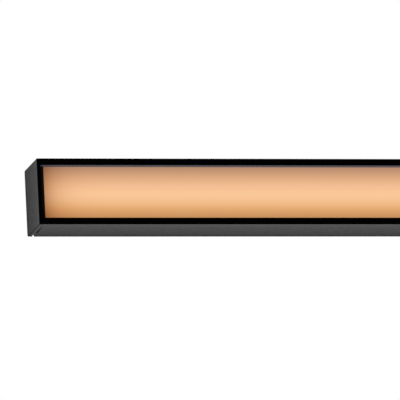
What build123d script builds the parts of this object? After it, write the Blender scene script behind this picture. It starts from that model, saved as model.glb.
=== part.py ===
from build123d import *

import math
import os

# LED vanity light bar for a wall, as an assembly of its separate pieces, in millimetres.
#
# Frame: X runs along the bar, +Y points into the wall and +Z is up. The origin is the centre of the
# wall face, on the axis of the cable entry. The bar has two halves. The wall half is a folded steel
# pan that holds the driver, the terminals and a tray of LED strips. The cover half is a black frame
# of two extruded rails, two end plugs and two end caps round an opal diffuser. The cover slides over
# the pan, and two clamp screws in its top rail press on ears of the pan.

# Overall size
BAR_LENGTH = 914.0
BAR_HEIGHT = 114.0
BAR_DEPTH = 101.0
WALL_REVEAL = 1.2  # from the wall to the back of the cover

# Cover rails, which are mirror images of each other
RAIL_WALL = 2.0
LIP_HEIGHT = 11.5
LIP_THICKNESS = 2.2
RETURN_THICKNESS = 1.8
RECESS_DEPTH = 14.8  # from the front face to the diffuser
SEAT_HEIGHT = 5.0
SEAT_THICKNESS = 1.5
RIB_HEIGHT = 7.5
RIB_THICKNESS = 1.5
FLANGE_HEIGHT = 9.0
FLANGE_THICKNESS = 2.0
RAIL_EDGE_RADIUS = 0.5

# End caps and end plugs
CAP_THICKNESS = 6.0
CAP_PROUD = 0.4  # how far a cap stands outside the rails, all round
CAP_CORNER_RADIUS = 3.2
CAP_EDGE_RADIUS = 1.6
CAP_SKIRT = 2.5  # how far a cap's rim reaches in to the end of the rails
PLUG_WEB = 7.6
PLUG_SETBACK = 12.0  # from the front face to the plug's face
PLUG_ARM_LENGTH = 20.0  # behind the end of the rail
PLUG_SCREW_INSET = 10.0  # from the end of the rail
PLUG_SCREW_LENGTH = 10.0
CAP_SCREW_ENGAGEMENT = 4.0
CAP_SCREW_SHARE = 2 / 3  # of the way from the middle to the rails' flanges

# Slot in the joint between a cap and a rail, cut into the end of the rail
SEAM_SLOT_WIDTH = 3.2
SEAM_SLOT_FROM_FRONT = 15.0
SEAM_SLOT_TAPER = 42.0
SEAM_SLOT_FROM_WALL = 28.0

# Notch in the back corner of that joint, by distances from the end of the bar
NOTCH_LENGTH = 17.0  # along the joint
NOTCH_TIP = 6.6
NOTCH_NEAR = 7.9
NOTCH_FAR = 11.8
PLUG_NOTCH_MARGIN = 0.6
PLUG_NOTCH_DEPTH = 3.6

# Diffuser and its gaskets
DIFFUSER_THICKNESS = 3.0
DIFFUSER_EDGE_CLEARANCE = 1.0
DIFFUSER_EDGE_RADIUS = 0.6
GASKET_THICKNESS = 1.5

# Clamp screws, their nuts and the ears that they press on
CLAMP_INSET = 157.0  # from the end of the bar
CLAMP_FROM_WALL = 13.0
CLAMP_SHANK_RADIUS = 1.95
CLAMP_HEAD_RADIUS = 3.8
CLAMP_HEAD_HEIGHT = 2.2
CLAMP_HEAD_ROUNDING = 1.65
CLAMP_SOCKET_WIDTH = 2.5
CLAMP_SOCKET_DEPTH = 1.3
CLAMP_NUT_RADIUS = 4.0
CLAMP_NUT_HEIGHT = 3.5
CLAMP_CHAMFER = 0.4
CLAMP_GAP = 0.1  # at both ends of the screw
EAR_LENGTH = 24.0
EAR_WIDTH = 14.0
EAR_HEIGHT = 4.5
EAR_NOTCH_CLEARANCE = 4.0

# Wall pan
PAN_SHEET = 1.5
PAN_DEPTH = 36.0
PAN_RETURN = 12.0
PAN_BEND_RADIUS = 1.2
GROMMET_BORE_RADIUS = 9.0
GROMMET_WALL = 3.5
GROMMET_LIP = 2.5
GROMMET_FLANGE = 1.5
GROMMET_COLLAR = 2.0
GROMMET_CHAMFER = 0.8
BOX_SCREW_SPACINGS = (88.9, 69.85)  # round junction boxes of four inches and of three
BOX_HOLE_RADIUS = 2.4
ANCHOR_INSET = 78.0  # from the end of the pan
ANCHOR_HOLE_RADIUS = 2.5

# LED tray, reflectors and LED strips
TRAY_SHEET = 1.5
TRAY_END_SETBACK = 1.0
ACCESS_HOLE_RADIUS = 5.6
REFLECTOR_SHEET = 1.0
REFLECTOR_FOOT = 10.0
REFLECTOR_FLARE = 4.2
REFLECTOR_GAP = 2.2  # behind the rails' ribs
TRAY_SCREW_COLUMNS = 5
TRAY_SCREW_END_INSET = 26.0
STRIP_WIDTH = 12.0
STRIP_THICKNESS = 1.6
STRIP_END_MARGIN = 10.0
STRIP_CENTRE_GAP = 4.0
STRIP_SHARE = 0.6  # of the way from the middle to the reflector's foot
STRIP_SCREW_HEAD_RADIUS = 2.2
STRIP_SCREW_HEAD_HEIGHT = 1.4
CHIP_PITCH = 21.0
CHIP_WIDTH = 3.0
CHIP_HEIGHT = 0.8
CONNECTOR_SIZE = (16.0, 6.0, 3.5)
FEED_CONNECTOR_LENGTH = 8.0
FEED_FROM_DRIVER = 20.0
LEAD_BUSH_BORE = 3.0
LEAD_BUSH_WALL = 1.5
LEAD_BUSH_FLANGE = 1.0

# Driver
DRIVER_START = 110.0
DRIVER_LENGTH = 160.0
DRIVER_WIDTH = 44.0
DRIVER_HEIGHT = 26.0
DRIVER_SHEET = 1.0
DRIVER_EAR = 9.0
DRIVER_BOARD_LIFT = 3.0
DRIVER_BOARD = 1.6
DRIVER_LEAD_SPREAD = 5.0
DRIVER_BUSH_RADIUS = 2.4
DRIVER_BUSH_LENGTH = 4.0
CORE_PLACE = 0.56  # the transformer's place, as a share of the driver's length
CORE_SIZE = (24.0, 15.0, 22.0)
CORE_WINDOW = (16.0, 16.0)  # along X and Z
CORE_LIMB = (7.0, 8.0)  # along Y and Z
WINDING_CLEARANCE = 0.5
CAN_PLACES = ((0.30, 9.0), (0.30, -8.0), (0.78, 8.0), (0.78, -8.0))  # share of the length, and Z
CAN_SIZES = ((6.0, 15.0), (6.0, 15.0), (5.0, 13.0), (5.0, 13.0))  # radius and length
CAN_EDGE_RADIUS = 0.8
FILM_PLACE = 0.16
FILM_SIZE = (7.0, 12.0, 18.0)

# Terminal block with a lever for each pole
BLOCK_START = 50.0
BLOCK_LENGTH = 24.0
BLOCK_HEIGHT = 15.0
POLE_WALL = 2.4  # between the levers' pockets
BLOCK_EDGE_RADIUS = 1.0
POLES = ("live", "neutral", "earth")
WIRE_PORT_RADIUS = 1.6
LEVER_LENGTH = 13.0
LEVER_WIDTH = 6.0
LEVER_THICKNESS = 2.0
LEVER_BARREL_RADIUS = 1.8
LEVER_PIN_RADIUS = 1.0
LEVER_PIN_LENGTH = 1.0
LEVER_SIDE_CLEARANCE = 0.3
LEVER_FLOOR_CLEARANCE = 0.4
LEVER_TIP_RADIUS = 1.0

# Fasteners and leads
M3_RADIUS = 1.45
M3_HEAD_RADIUS = 2.8
M3_HEAD_HEIGHT = 2.0
M4_RADIUS = 1.95
M4_HEAD_RADIUS = 3.6
CROSS_SLOT_WIDTH = 0.8
CROSS_SLOT_DEPTH = 0.8
CROSS_SLOT_SHARE = 1.2  # of the head's radius
THREAD_CLEARANCE = 0.05
HOLE_CLEARANCE = 0.3
SCREW_HEAD_ROUNDING = 0.35  # of the head's height
LEAD_RADIUS = 0.9
EARTH_FROM_BLOCK = (14.0, 13.0)  # along X and Z, from the block's lower right corner
LUG_SHEET = 0.8
LUG_RADIUS = 4.2
LUG_NECK = 3.2
LUG_BARREL_RADIUS = 1.7
LUG_BARREL_START = 5.0  # from the screw's axis
LUG_BARREL_LENGTH = 5.0
EARTH_HEAD_HEIGHT = 2.4
PORT_REACH = 2.0  # how far a lead goes into the terminal block

# Clearances
SLIDE_CLEARANCE = 0.2  # round the plugs and the diffuser, which slide into the rails
PULL_CLEARANCE = 1.5  # between the pan and the cover's flanges
END_CLEARANCE = 3.4  # between the pan's ends and the cap screws' heads

# Where the pieces lie, worked out from the sizes above
front_y = -BAR_DEPTH
cover_back_y = -WALL_REVEAL
half_length = BAR_LENGTH / 2
half_height = BAR_HEIGHT / 2
cap_inner_x = half_length - CAP_THICKNESS
rail_end_x = cap_inner_x - CAP_SKIRT
web_inner_x = cap_inner_x - PLUG_WEB
rail_inner_z = half_height - RAIL_WALL
window_z = half_height - LIP_HEIGHT
seat_y = front_y + RECESS_DEPTH
diffuser_back_y = seat_y + DIFFUSER_THICKNESS
rib_y = diffuser_back_y + GASKET_THICKNESS
rib_back_y = rib_y + RIB_THICKNESS
flange_y = cover_back_y - FLANGE_THICKNESS
flange_z = rail_inner_z - FLANGE_HEIGHT
plug_screw_z = (flange_z + rail_inner_z) / 2
pan_half_height = flange_z - PULL_CLEARANCE
pan_end_x = web_inner_x - M3_HEAD_HEIGHT - END_CLEARANCE
pan_front_y = -PAN_DEPTH
clamp_x = half_length - CLAMP_INSET
anchor_x = pan_end_x - ANCHOR_INSET
cable_hole_radius = GROMMET_BORE_RADIUS + GROMMET_WALL
tray_y = pan_front_y - TRAY_SHEET
tray_end_x = pan_end_x - TRAY_END_SETBACK
foot_outer_z = pan_half_height - REFLECTOR_FLARE
foot_inner_z = foot_outer_z - REFLECTOR_FOOT
tray_screw_z = (foot_inner_z + foot_outer_z) / 2
strip_z = foot_inner_z * STRIP_SHARE
strip_y = tray_y - STRIP_THICKNESS
strip_length = tray_end_x - STRIP_END_MARGIN - STRIP_CENTRE_GAP / 2
strip_centre_x = STRIP_CENTRE_GAP / 2 + strip_length / 2
chips_per_strip = 2 * int((strip_length - CHIP_PITCH) / CHIP_PITCH / 2)
driver_end_x = DRIVER_START + DRIVER_LENGTH
driver_lead_y = -PAN_SHEET - DRIVER_HEIGHT / 2
feed_x = strip_centre_x + CHIP_PITCH * math.ceil(
    (driver_end_x + FEED_FROM_DRIVER - strip_centre_x) / CHIP_PITCH
)
block_end_x = BLOCK_START + BLOCK_LENGTH
block_top_y = -PAN_SHEET - BLOCK_HEIGHT
pole_pitch = LEVER_WIDTH + 2 * LEVER_SIDE_CLEARANCE + POLE_WALL
block_half_width = pole_pitch * len(POLES) / 2
port_y = -PAN_SHEET - BLOCK_HEIGHT / 3
lever_pivot_x = block_end_x - 2 * LEVER_BARREL_RADIUS
lever_pivot_y = block_top_y + LEVER_BARREL_RADIUS
ear_top_z = pan_half_height + EAR_HEIGHT
SIDES = {"left": -1, "right": 1}


def slab(x, y, z):
    """A box between three pairs of limits."""
    (x0, x1), (y0, y1), (z0, z1) = sorted(x), sorted(y), sorted(z)
    return Pos((x0 + x1) / 2, (y0 + y1) / 2, (z0 + z1) / 2) * Box(x1 - x0, y1 - y0, z1 - z0)


def rod(radius, start, end):
    """A cylinder between two points that share an axis-parallel line."""
    start, end = Vector(*start), Vector(*end)
    along = end - start
    plane = Plane(origin=start, z_dir=along.normalized())
    return extrude(plane * Circle(radius), amount=along.length)


def rod_y(radius, x, y, z):
    """A cylinder along Y between two limits."""
    return rod(radius, (x, y[0], z), (x, y[1], z))


def rod_z(radius, x, y, z):
    """A cylinder along Z between two limits."""
    return rod(radius, (x, y, z[0]), (x, y, z[1]))


def cross_slot(at, along, reach):
    """The cross recess of a screw whose head has its top at a point, cut along a direction."""
    plane = Plane(origin=at, z_dir=along)
    span = CROSS_SLOT_SHARE * reach
    cross = Rectangle(span, CROSS_SLOT_WIDTH) + Rectangle(CROSS_SLOT_WIDTH, span)
    return extrude(plane * cross, amount=-CROSS_SLOT_DEPTH)


def pan_head_screw(seat, into, length, radius=M3_RADIUS, head=M3_HEAD_RADIUS, height=M3_HEAD_HEIGHT):
    """A pan-head screw whose head sits at a point, with its shank along a direction."""
    seat, into = Vector(*seat), Vector(*into)
    top = seat - into * height
    body = rod(head, top, seat)
    body = fillet(top_edges(body, top), SCREW_HEAD_ROUNDING * height)
    return body + rod(radius, seat, seat + into * length) - cross_slot(top, -into, head)


def top_edges(body, point):
    """The circular edge of a body that is centred on a point."""
    circles = body.edges().filter_by(GeomType.CIRCLE)
    return circles.filter_by(lambda e: (e.arc_center - point).length < 1e-6)


def countersunk_screw(seat, into, length, radius=M3_RADIUS, head=M3_HEAD_RADIUS):
    """A countersunk screw whose flat head is flush with a point, with its shank along a direction."""
    seat, into = Vector(*seat), Vector(*into)
    cone_height = head - radius
    plane = Plane(origin=seat, z_dir=into)
    cone = plane * Pos(0, 0, cone_height / 2) * Cone(head, radius, cone_height)
    shank = rod(radius, seat + into * cone_height, seat + into * length)
    return cone + shank - cross_slot(seat, -into, head)


def countersink(seat, into, depth, radius, head):
    """What a countersunk screw needs cut away: its cone and its shank's hole."""
    seat, into = Vector(*seat), Vector(*into)
    grow = HOLE_CLEARANCE
    cone_height = head - radius
    plane = Plane(origin=seat, z_dir=into)
    cone = plane * Pos(0, 0, cone_height / 2) * Cone(head + grow, radius + grow, cone_height)
    return cone + rod(radius + grow, seat, seat + into * depth)


def lead(points, radius=LEAD_RADIUS):
    """An insulated lead that follows points, with the largest bends that its runs allow."""
    points = [Vector(*p) for p in points]
    radii = []
    for before, here, after in zip(points, points[1:], points[2:]):
        turn = math.radians((here - before).get_angle(after - here))
        shorter = min((here - before).length, (after - here).length)
        radii.append(0.45 * shorter / math.tan(turn / 2))
    path = FilletPolyline(*points, radius=radii)
    start = Plane(origin=path @ 0, z_dir=path % 0)
    return sweep(start * Circle(radius), path=path)


# ------------------------------------------------------------------ cover half


def shell_section(ends):
    """The upper rail's outer wall with its front lip, whose edge is returned towards the diffuser."""
    shell = slab(ends, (front_y, cover_back_y), (rail_inner_z, half_height))
    shell += slab(ends, (front_y, front_y + LIP_THICKNESS), (window_z, half_height))
    shell += slab(ends, (front_y, seat_y), (window_z, window_z + RETURN_THICKNESS))
    outer = shell.edges().filter_by(Axis.X).group_by(Axis.Z)[-1]
    return fillet(outer, RAIL_EDGE_RADIUS)


def rail_blank():
    """The upper rail's full section, cut at its ends, without its other holes."""
    ends = (-rail_end_x, rail_end_x)
    root_z = rail_inner_z + RAIL_WALL / 2
    seat = slab(ends, (seat_y - SEAT_THICKNESS, seat_y), (window_z, window_z + SEAT_HEIGHT))
    rib = slab(ends, (rib_y, rib_back_y), (rail_inner_z - RIB_HEIGHT, root_z))
    flange = slab(ends, (flange_y, cover_back_y), (flange_z, root_z))
    rail = shell_section(ends) + seat + rib + flange
    for side in SIDES.values():
        rail -= corner_notch(side)
        rail -= seam_slot(side)
        rail -= countersink(
            (side * (rail_end_x - PLUG_SCREW_INSET), cover_back_y, plug_screw_z),
            (0, -1, 0),
            2 * FLANGE_THICKNESS,
            M3_RADIUS,
            M3_HEAD_RADIUS,
        )
    return rail


def end_prism(side, plan):
    """An upright prism at one end of the bar; its plan gives distances from the end, and depths."""
    points = [(side * (half_length - distance), y) for distance, y in plan]
    face = make_face(Polyline(*points, close=True))
    return extrude(face, amount=half_height + CAP_PROUD, dir=(0, 0, 1), both=True)


def corner_notch(side, margin=0.0):
    """The notch in the back corner of the joint between a cap and a rail, seen from above."""
    plan = [
        (NOTCH_TIP - margin, cover_back_y - NOTCH_LENGTH - margin),
        (NOTCH_NEAR - margin, cover_back_y),
        (NOTCH_FAR + margin, cover_back_y),
    ]
    return end_prism(side, plan)


def seam_slot(side):
    """The slot in a rail's end, which narrows towards the front, seen from above."""
    front = front_y + SEAM_SLOT_FROM_FRONT
    back = cover_back_y - SEAM_SLOT_FROM_WALL
    near = half_length - rail_end_x
    far = near + SEAM_SLOT_WIDTH
    plan = [(near, front), (far, front + SEAM_SLOT_TAPER), (far, back), (near, back)]
    return end_prism(side, plan)


def make_top_rail():
    """The upper rail, with the clamp screws' holes and the notches that pass the pan's ears."""
    rail = rail_blank()
    notch = EAR_LENGTH / 2 + EAR_NOTCH_CLEARANCE
    for side in SIDES.values():
        x, y = side * clamp_x, -CLAMP_FROM_WALL
        rail -= rod(CLAMP_SHANK_RADIUS + THREAD_CLEARANCE, (x, y, rail_inner_z - 1), (x, y, half_height + 1))
        rail -= slab((x - notch, x + notch), (flange_y - 1, cover_back_y + 1), (flange_z - 1, rail_inner_z))
    return rail


def make_bottom_rail():
    """The lower rail."""
    return mirror(rail_blank(), about=Plane.XY)


def make_end_cap(side):
    """An end cap: a rounded plate with a rim, above and below, that carries on the rails' section."""
    depth = BAR_DEPTH - WALL_REVEAL + CAP_PROUD
    height = BAR_HEIGHT + 2 * CAP_PROUD
    centre_y = (front_y - CAP_PROUD + cover_back_y) / 2
    outline = Pos(centre_y, 0) * RectangleRounded(depth, height, CAP_CORNER_RADIUS)
    cap = extrude(Plane.YZ.offset(cap_inner_x) * outline, amount=CAP_THICKNESS)
    cap = fillet(cap.faces().sort_by(Axis.X)[-1].edges(), CAP_EDGE_RADIUS)
    rim = shell_section((rail_end_x, cap_inner_x)) - corner_notch(1)
    cap += rim + mirror(rim, about=Plane.XY)
    for seat in cap_screw_seats():
        cap -= rod(
            M3_RADIUS + THREAD_CLEARANCE,
            (cap_inner_x - 1, seat[1], seat[2]),
            (cap_inner_x + CAP_SCREW_ENGAGEMENT, seat[1], seat[2]),
        )
    return cap if side > 0 else mirror(cap, about=Plane.YZ)


def cap_screw_seats():
    """Where the heads of the right-hand cap's screws sit."""
    y = (tray_y + rib_back_y) / 2
    z = flange_z * CAP_SCREW_SHARE
    return [(web_inner_x, y, -z), (web_inner_x, y, z)]


def make_cap_screws(side):
    """The two screws that hold an end cap, put in from inside."""
    length = PLUG_WEB + CAP_SCREW_ENGAGEMENT
    screws = [pan_head_screw(seat, (1, 0, 0), length) for seat in cap_screw_seats()]
    group = Compound(children=screws)
    return group if side > 0 else mirror(group, about=Plane.YZ)


def make_end_plug(side):
    """The casting that ties both rails together, with a web across the end and two arms."""
    outer_z = rail_inner_z - SLIDE_CLEARANCE
    web_x = (web_inner_x, cap_inner_x)
    arm_x = (rail_end_x - PLUG_ARM_LENGTH, cap_inner_x)
    arm_y = (rib_back_y + SLIDE_CLEARANCE, flange_y - SLIDE_CLEARANCE)
    face_z = window_z - SLIDE_CLEARANCE
    face = slab(web_x, (front_y + PLUG_SETBACK, arm_y[1]), (-face_z, face_z))
    plug = face + slab(web_x, arm_y, (-outer_z, outer_z))
    for end in (-1, 1):
        plug += slab(arm_x, arm_y, (end * flange_z, end * outer_z))
        screw_x = rail_end_x - PLUG_SCREW_INSET
        screw_z = end * plug_screw_z
        plug -= rod(
            M3_RADIUS + THREAD_CLEARANCE,
            (screw_x, flange_y, screw_z),
            (screw_x, flange_y - PLUG_SCREW_LENGTH, screw_z),
        )
    for seat in cap_screw_seats():
        plug -= rod(M3_RADIUS + HOLE_CLEARANCE, seat, (cap_inner_x + 1, seat[1], seat[2]))
    kept = (PLUG_NOTCH_DEPTH - outer_z, outer_z - PLUG_NOTCH_DEPTH)
    plug -= corner_notch(1, PLUG_NOTCH_MARGIN) - slab((0, half_length), (front_y, 0), kept)
    return plug if side > 0 else mirror(plug, about=Plane.YZ)


def make_plug_screws(side):
    """The countersunk screws through the rails' flanges into a plug's arms."""
    x = rail_end_x - PLUG_SCREW_INSET
    screws = [
        countersunk_screw((x, cover_back_y, end * plug_screw_z), (0, -1, 0), PLUG_SCREW_LENGTH)
        for end in (-1, 1)
    ]
    group = Compound(children=screws)
    return group if side > 0 else mirror(group, about=Plane.YZ)


def make_diffuser():
    """The opal sheet, which lies against the rails' seats."""
    end_x = web_inner_x - SLIDE_CLEARANCE
    edge_z = rail_inner_z - DIFFUSER_EDGE_CLEARANCE
    sheet = slab((-end_x, end_x), (seat_y, diffuser_back_y), (-edge_z, edge_z))
    return fillet(sheet.edges().filter_by(Axis.Y), DIFFUSER_EDGE_RADIUS)


def make_gasket(end):
    """A foam strip that presses the diffuser forward. end is 1 for the upper strip."""
    end_x = web_inner_x - SLIDE_CLEARANCE
    inner_z = rail_inner_z - RIB_HEIGHT
    outer_z = rail_inner_z - DIFFUSER_EDGE_CLEARANCE
    return slab((-end_x, end_x), (diffuser_back_y, rib_y), (end * inner_z, end * outer_z))


def make_clamp_nut(side):
    """The press nut under the top rail that a clamp screw turns in."""
    x = side * clamp_x
    top = (x, -CLAMP_FROM_WALL, rail_inner_z)
    bottom = (x, -CLAMP_FROM_WALL, rail_inner_z - CLAMP_NUT_HEIGHT)
    nut = rod(CLAMP_NUT_RADIUS, bottom, top)
    nut = chamfer(nut.faces().sort_by(Axis.Z)[0].edges(), CLAMP_CHAMFER)
    return nut - rod(CLAMP_SHANK_RADIUS + THREAD_CLEARANCE, bottom, top)


def make_clamp_screw(side):
    """A button-head screw with a hexagon socket, whose tip stops just short of the pan's ear."""
    x, y = side * clamp_x, -CLAMP_FROM_WALL
    head_z = half_height + CLAMP_GAP
    head = rod(CLAMP_HEAD_RADIUS, (x, y, head_z), (x, y, head_z + CLAMP_HEAD_HEIGHT))
    head = fillet(head.faces().sort_by(Axis.Z)[-1].edges(), CLAMP_HEAD_ROUNDING)
    socket = Plane(origin=(x, y, head_z + CLAMP_HEAD_HEIGHT), z_dir=(0, 0, 1)) * RegularPolygon(
        CLAMP_SOCKET_WIDTH / 2, 6, major_radius=False
    )
    shank = rod(CLAMP_SHANK_RADIUS, (x, y, ear_top_z + CLAMP_GAP), (x, y, head_z))
    shank = chamfer(shank.faces().sort_by(Axis.Z)[0].edges(), CLAMP_CHAMFER)
    return head + shank - extrude(socket, amount=-CLAMP_SOCKET_DEPTH)


# ------------------------------------------------------------------- wall half


def make_back_pan():
    """The folded steel pan that is fixed to the wall."""
    outer_z, inner_z = pan_half_height, pan_half_height - PAN_SHEET
    outer_x, inner_x = pan_end_x, pan_end_x - PAN_SHEET
    pan = slab((-outer_x, outer_x), (pan_front_y, 0), (-outer_z, outer_z))
    pan = fillet(pan.edges().filter_by(Axis.X).group_by(Axis.Y)[0], PAN_BEND_RADIUS)
    mouth_z = inner_z - PAN_RETURN
    pan -= slab((-inner_x, inner_x), (pan_front_y + PAN_SHEET, -PAN_SHEET), (-inner_z, inner_z))
    pan -= slab((-inner_x, inner_x), (pan_front_y - 1, -PAN_SHEET), (-mouth_z, mouth_z))
    pan -= rod(cable_hole_radius, (0, -PAN_SHEET - 1, 0), (0, 1, 0))
    for spacing in BOX_SCREW_SPACINGS:
        for side in SIDES.values():
            x = side * spacing / 2
            pan -= rod(BOX_HOLE_RADIUS, (x, -PAN_SHEET - 1, 0), (x, 1, 0))
    for side in SIDES.values():
        x = side * anchor_x
        pan -= rod(ANCHOR_HOLE_RADIUS, (x, -PAN_SHEET - 1, 0), (x, 1, 0))
    for x, z in tray_screw_places():
        pan -= rod(M3_RADIUS + THREAD_CLEARANCE, (x, pan_front_y - 1, z), (x, pan_front_y + PAN_SHEET + 1, z))
    for x, z in driver_screw_places():
        pan -= rod(M3_RADIUS + THREAD_CLEARANCE, (x, -PAN_SHEET - 1, z), (x, 1, z))
    x, z = earth_place()
    return pan - rod(M4_RADIUS + THREAD_CLEARANCE, (x, -PAN_SHEET - 1, z), (x, 1, z))


def make_clamp_ear(side):
    """A channel on the pan's upper flange, whose top a clamp screw presses on."""
    x = side * clamp_x
    ends = (x - EAR_LENGTH / 2, x + EAR_LENGTH / 2)
    width = (-CLAMP_FROM_WALL - EAR_WIDTH / 2, -CLAMP_FROM_WALL + EAR_WIDTH / 2)
    ear = slab(ends, width, (pan_half_height, ear_top_z))
    ear = fillet(ear.edges().filter_by(Axis.Y).group_by(Axis.Z)[-1], PAN_SHEET)
    hollow = (ends[0] + PAN_SHEET, ends[1] - PAN_SHEET)
    return ear - slab(hollow, width, (pan_half_height, ear_top_z - PAN_SHEET))


def make_cable_grommet():
    """The rubber bush in the pan's cable entry. It is flush with the wall face."""
    flange_front = -PAN_SHEET - GROMMET_FLANGE
    collar_front = flange_front - GROMMET_COLLAR
    bush = rod(cable_hole_radius, (0, flange_front, 0), (0, 0, 0))
    bush += rod(cable_hole_radius + GROMMET_LIP, (0, flange_front, 0), (0, -PAN_SHEET, 0))
    collar = rod(cable_hole_radius, (0, collar_front, 0), (0, flange_front, 0))
    bush += chamfer(collar.faces().sort_by(Axis.Y)[0].edges(), GROMMET_CHAMFER)
    return bush - rod(GROMMET_BORE_RADIUS, (0, collar_front, 0), (0, 0, 0))


def tray_screw_places():
    """The X and Z of the screws that hold the reflectors and the tray on the pan."""
    reach = tray_end_x - TRAY_SCREW_END_INSET
    columns = [reach * (2 * i / (TRAY_SCREW_COLUMNS - 1) - 1) for i in range(TRAY_SCREW_COLUMNS)]
    return [(x, end * tray_screw_z) for x in columns for end in (-1, 1)]


def make_led_tray():
    """The aluminium plate that carries the LED strips and spreads their heat."""
    tray = slab((-tray_end_x, tray_end_x), (tray_y, pan_front_y), (-pan_half_height, pan_half_height))
    for x, z in tray_screw_places():
        tray -= rod(M3_RADIUS + HOLE_CLEARANCE, (x, tray_y - 1, z), (x, pan_front_y + 1, z))
    for side in SIDES.values():
        wide, narrow = (side * spacing / 2 for spacing in BOX_SCREW_SPACINGS)
        slot = Pos((wide + narrow) / 2, 0) * SlotCenterToCenter(abs(wide - narrow), 2 * ACCESS_HOLE_RADIUS)
        tray -= extrude(Plane.XZ.offset(-pan_front_y) * slot, amount=2 * TRAY_SHEET, both=True)
        x = side * anchor_x
        tray -= rod(ACCESS_HOLE_RADIUS, (x, tray_y - 1, 0), (x, pan_front_y + 1, 0))
    lead_hole = LEAD_BUSH_BORE + LEAD_BUSH_WALL
    return tray - rod(lead_hole, (feed_x, tray_y - 1, 0), (feed_x, pan_front_y + 1, 0))


def make_tray_screws():
    """The screws through the reflectors' feet and the tray into the pan's return lips."""
    length = REFLECTOR_SHEET + TRAY_SHEET + PAN_SHEET + 2
    seat_front = tray_y - REFLECTOR_SHEET
    screws = [pan_head_screw((x, seat_front, z), (0, 1, 0), length) for x, z in tray_screw_places()]
    return Compound(children=screws)


def make_side_reflector(end):
    """A flared white reflector along one long side of the tray. end is 1 for the upper one."""
    front = rib_back_y + REFLECTOR_GAP
    foot_front = tray_y - REFLECTOR_SHEET
    edge_z = pan_half_height - SLIDE_CLEARANCE
    profile = Polyline(
        (tray_y, foot_inner_z),
        (foot_front, foot_inner_z),
        (foot_front, foot_outer_z - REFLECTOR_SHEET),
        (front, edge_z - REFLECTOR_SHEET),
        (front, edge_z),
        (tray_y, foot_outer_z),
        close=True,
    )
    face = make_face(Plane.YZ.offset(-tray_end_x) * profile)
    reflector = extrude(face, amount=2 * tray_end_x, dir=(1, 0, 0))
    for x, z in tray_screw_places():
        if z > 0:
            reflector -= rod(M3_RADIUS + HOLE_CLEARANCE, (x, foot_front - 1, z), (x, tray_y + 1, z))
    return reflector if end > 0 else mirror(reflector, about=Plane.XY)


def make_end_reflector(side):
    """A white cheek that closes one end of the light chamber."""
    front = rib_back_y + REFLECTOR_GAP
    inner_foot = foot_outer_z - 2 * REFLECTOR_SHEET
    inner_front = pan_half_height - SLIDE_CLEARANCE - 2 * REFLECTOR_SHEET
    profile = Polyline(
        (tray_y - REFLECTOR_SHEET, -inner_foot),
        (front, -inner_front),
        (front, inner_front),
        (tray_y - REFLECTOR_SHEET, inner_foot),
        close=True,
    )
    face = make_face(Plane.YZ.offset(tray_end_x - REFLECTOR_SHEET) * profile)
    cheek = extrude(face, amount=REFLECTOR_SHEET, dir=(1, 0, 0))
    cheek += slab(
        (tray_end_x - REFLECTOR_FOOT / 2, tray_end_x),
        (tray_y - REFLECTOR_SHEET, tray_y),
        (-foot_inner_z + SLIDE_CLEARANCE, foot_inner_z - SLIDE_CLEARANCE),
    )
    return cheek if side > 0 else mirror(cheek, about=Plane.YZ)


def make_led_strip(side, end):
    """One circuit board of the four, on the front of the tray."""
    centre = side * strip_centre_x
    ends = (centre - strip_length / 2, centre + strip_length / 2)
    heights = (end * strip_z - STRIP_WIDTH / 2, end * strip_z + STRIP_WIDTH / 2)
    board = slab(ends, (strip_y, tray_y), heights)
    for x in strip_screw_places(side):
        board -= rod_y(M3_RADIUS + HOLE_CLEARANCE, x, (strip_y - 1, tray_y + 1), end * strip_z)
    return board


def strip_screw_places(side):
    """The X of one strip's screws: one between the two middle chips, and one past each end chip."""
    reach = CHIP_PITCH * chips_per_strip / 2
    return [side * strip_centre_x + shift for shift in (-reach, 0, reach)]


def make_led_chips(side, end):
    """The LED packages of one strip."""
    first = side * strip_centre_x - CHIP_PITCH * (chips_per_strip - 1) / 2
    centre_y = strip_y - CHIP_HEIGHT / 2
    chip = Box(CHIP_WIDTH, CHIP_HEIGHT, CHIP_WIDTH)
    places = [Pos(first + i * CHIP_PITCH, centre_y, end * strip_z) for i in range(chips_per_strip)]
    return Compound(children=[place * chip for place in places])


def make_strip_screws():
    """The screws that hold the strips, which stop at the back of the tray."""
    head, height = STRIP_SCREW_HEAD_RADIUS, STRIP_SCREW_HEAD_HEIGHT
    screws = [
        pan_head_screw((x, strip_y, end * strip_z), (0, 1, 0), STRIP_THICKNESS, head=head, height=height)
        for side in SIDES.values()
        for end in (-1, 1)
        for x in strip_screw_places(side)
    ]
    return Compound(children=screws)


def make_strip_connectors():
    """The blocks that join the strips at the middle, and the two that the driver's leads end in."""
    length, width, height = CONNECTOR_SIZE
    centre_y = strip_y - height / 2
    blocks = []
    for end in (-1, 1):
        blocks.append(Pos(0, centre_y, end * strip_z) * Box(length, height, width))
        blocks.append(Pos(feed_x, centre_y, end * strip_z) * Box(FEED_CONNECTOR_LENGTH, height, width))
    return Compound(children=blocks)


def make_lead_bush():
    """The bush in the tray that the driver's output leads pass through."""
    front, back = tray_y - LEAD_BUSH_FLANGE, pan_front_y
    radius = LEAD_BUSH_BORE + LEAD_BUSH_WALL
    bush = rod(radius, (feed_x, front, 0), (feed_x, back, 0))
    bush += rod(radius + LEAD_BUSH_WALL, (feed_x, front, 0), (feed_x, tray_y, 0))
    return bush - rod(LEAD_BUSH_BORE, (feed_x, front, 0), (feed_x, back, 0))


def driver_screw_places():
    """The X and Z of the screws through the driver's ears."""
    ear = DRIVER_EAR / 2
    return [(DRIVER_START - ear, 0), (driver_end_x + ear, 0)]


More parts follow.
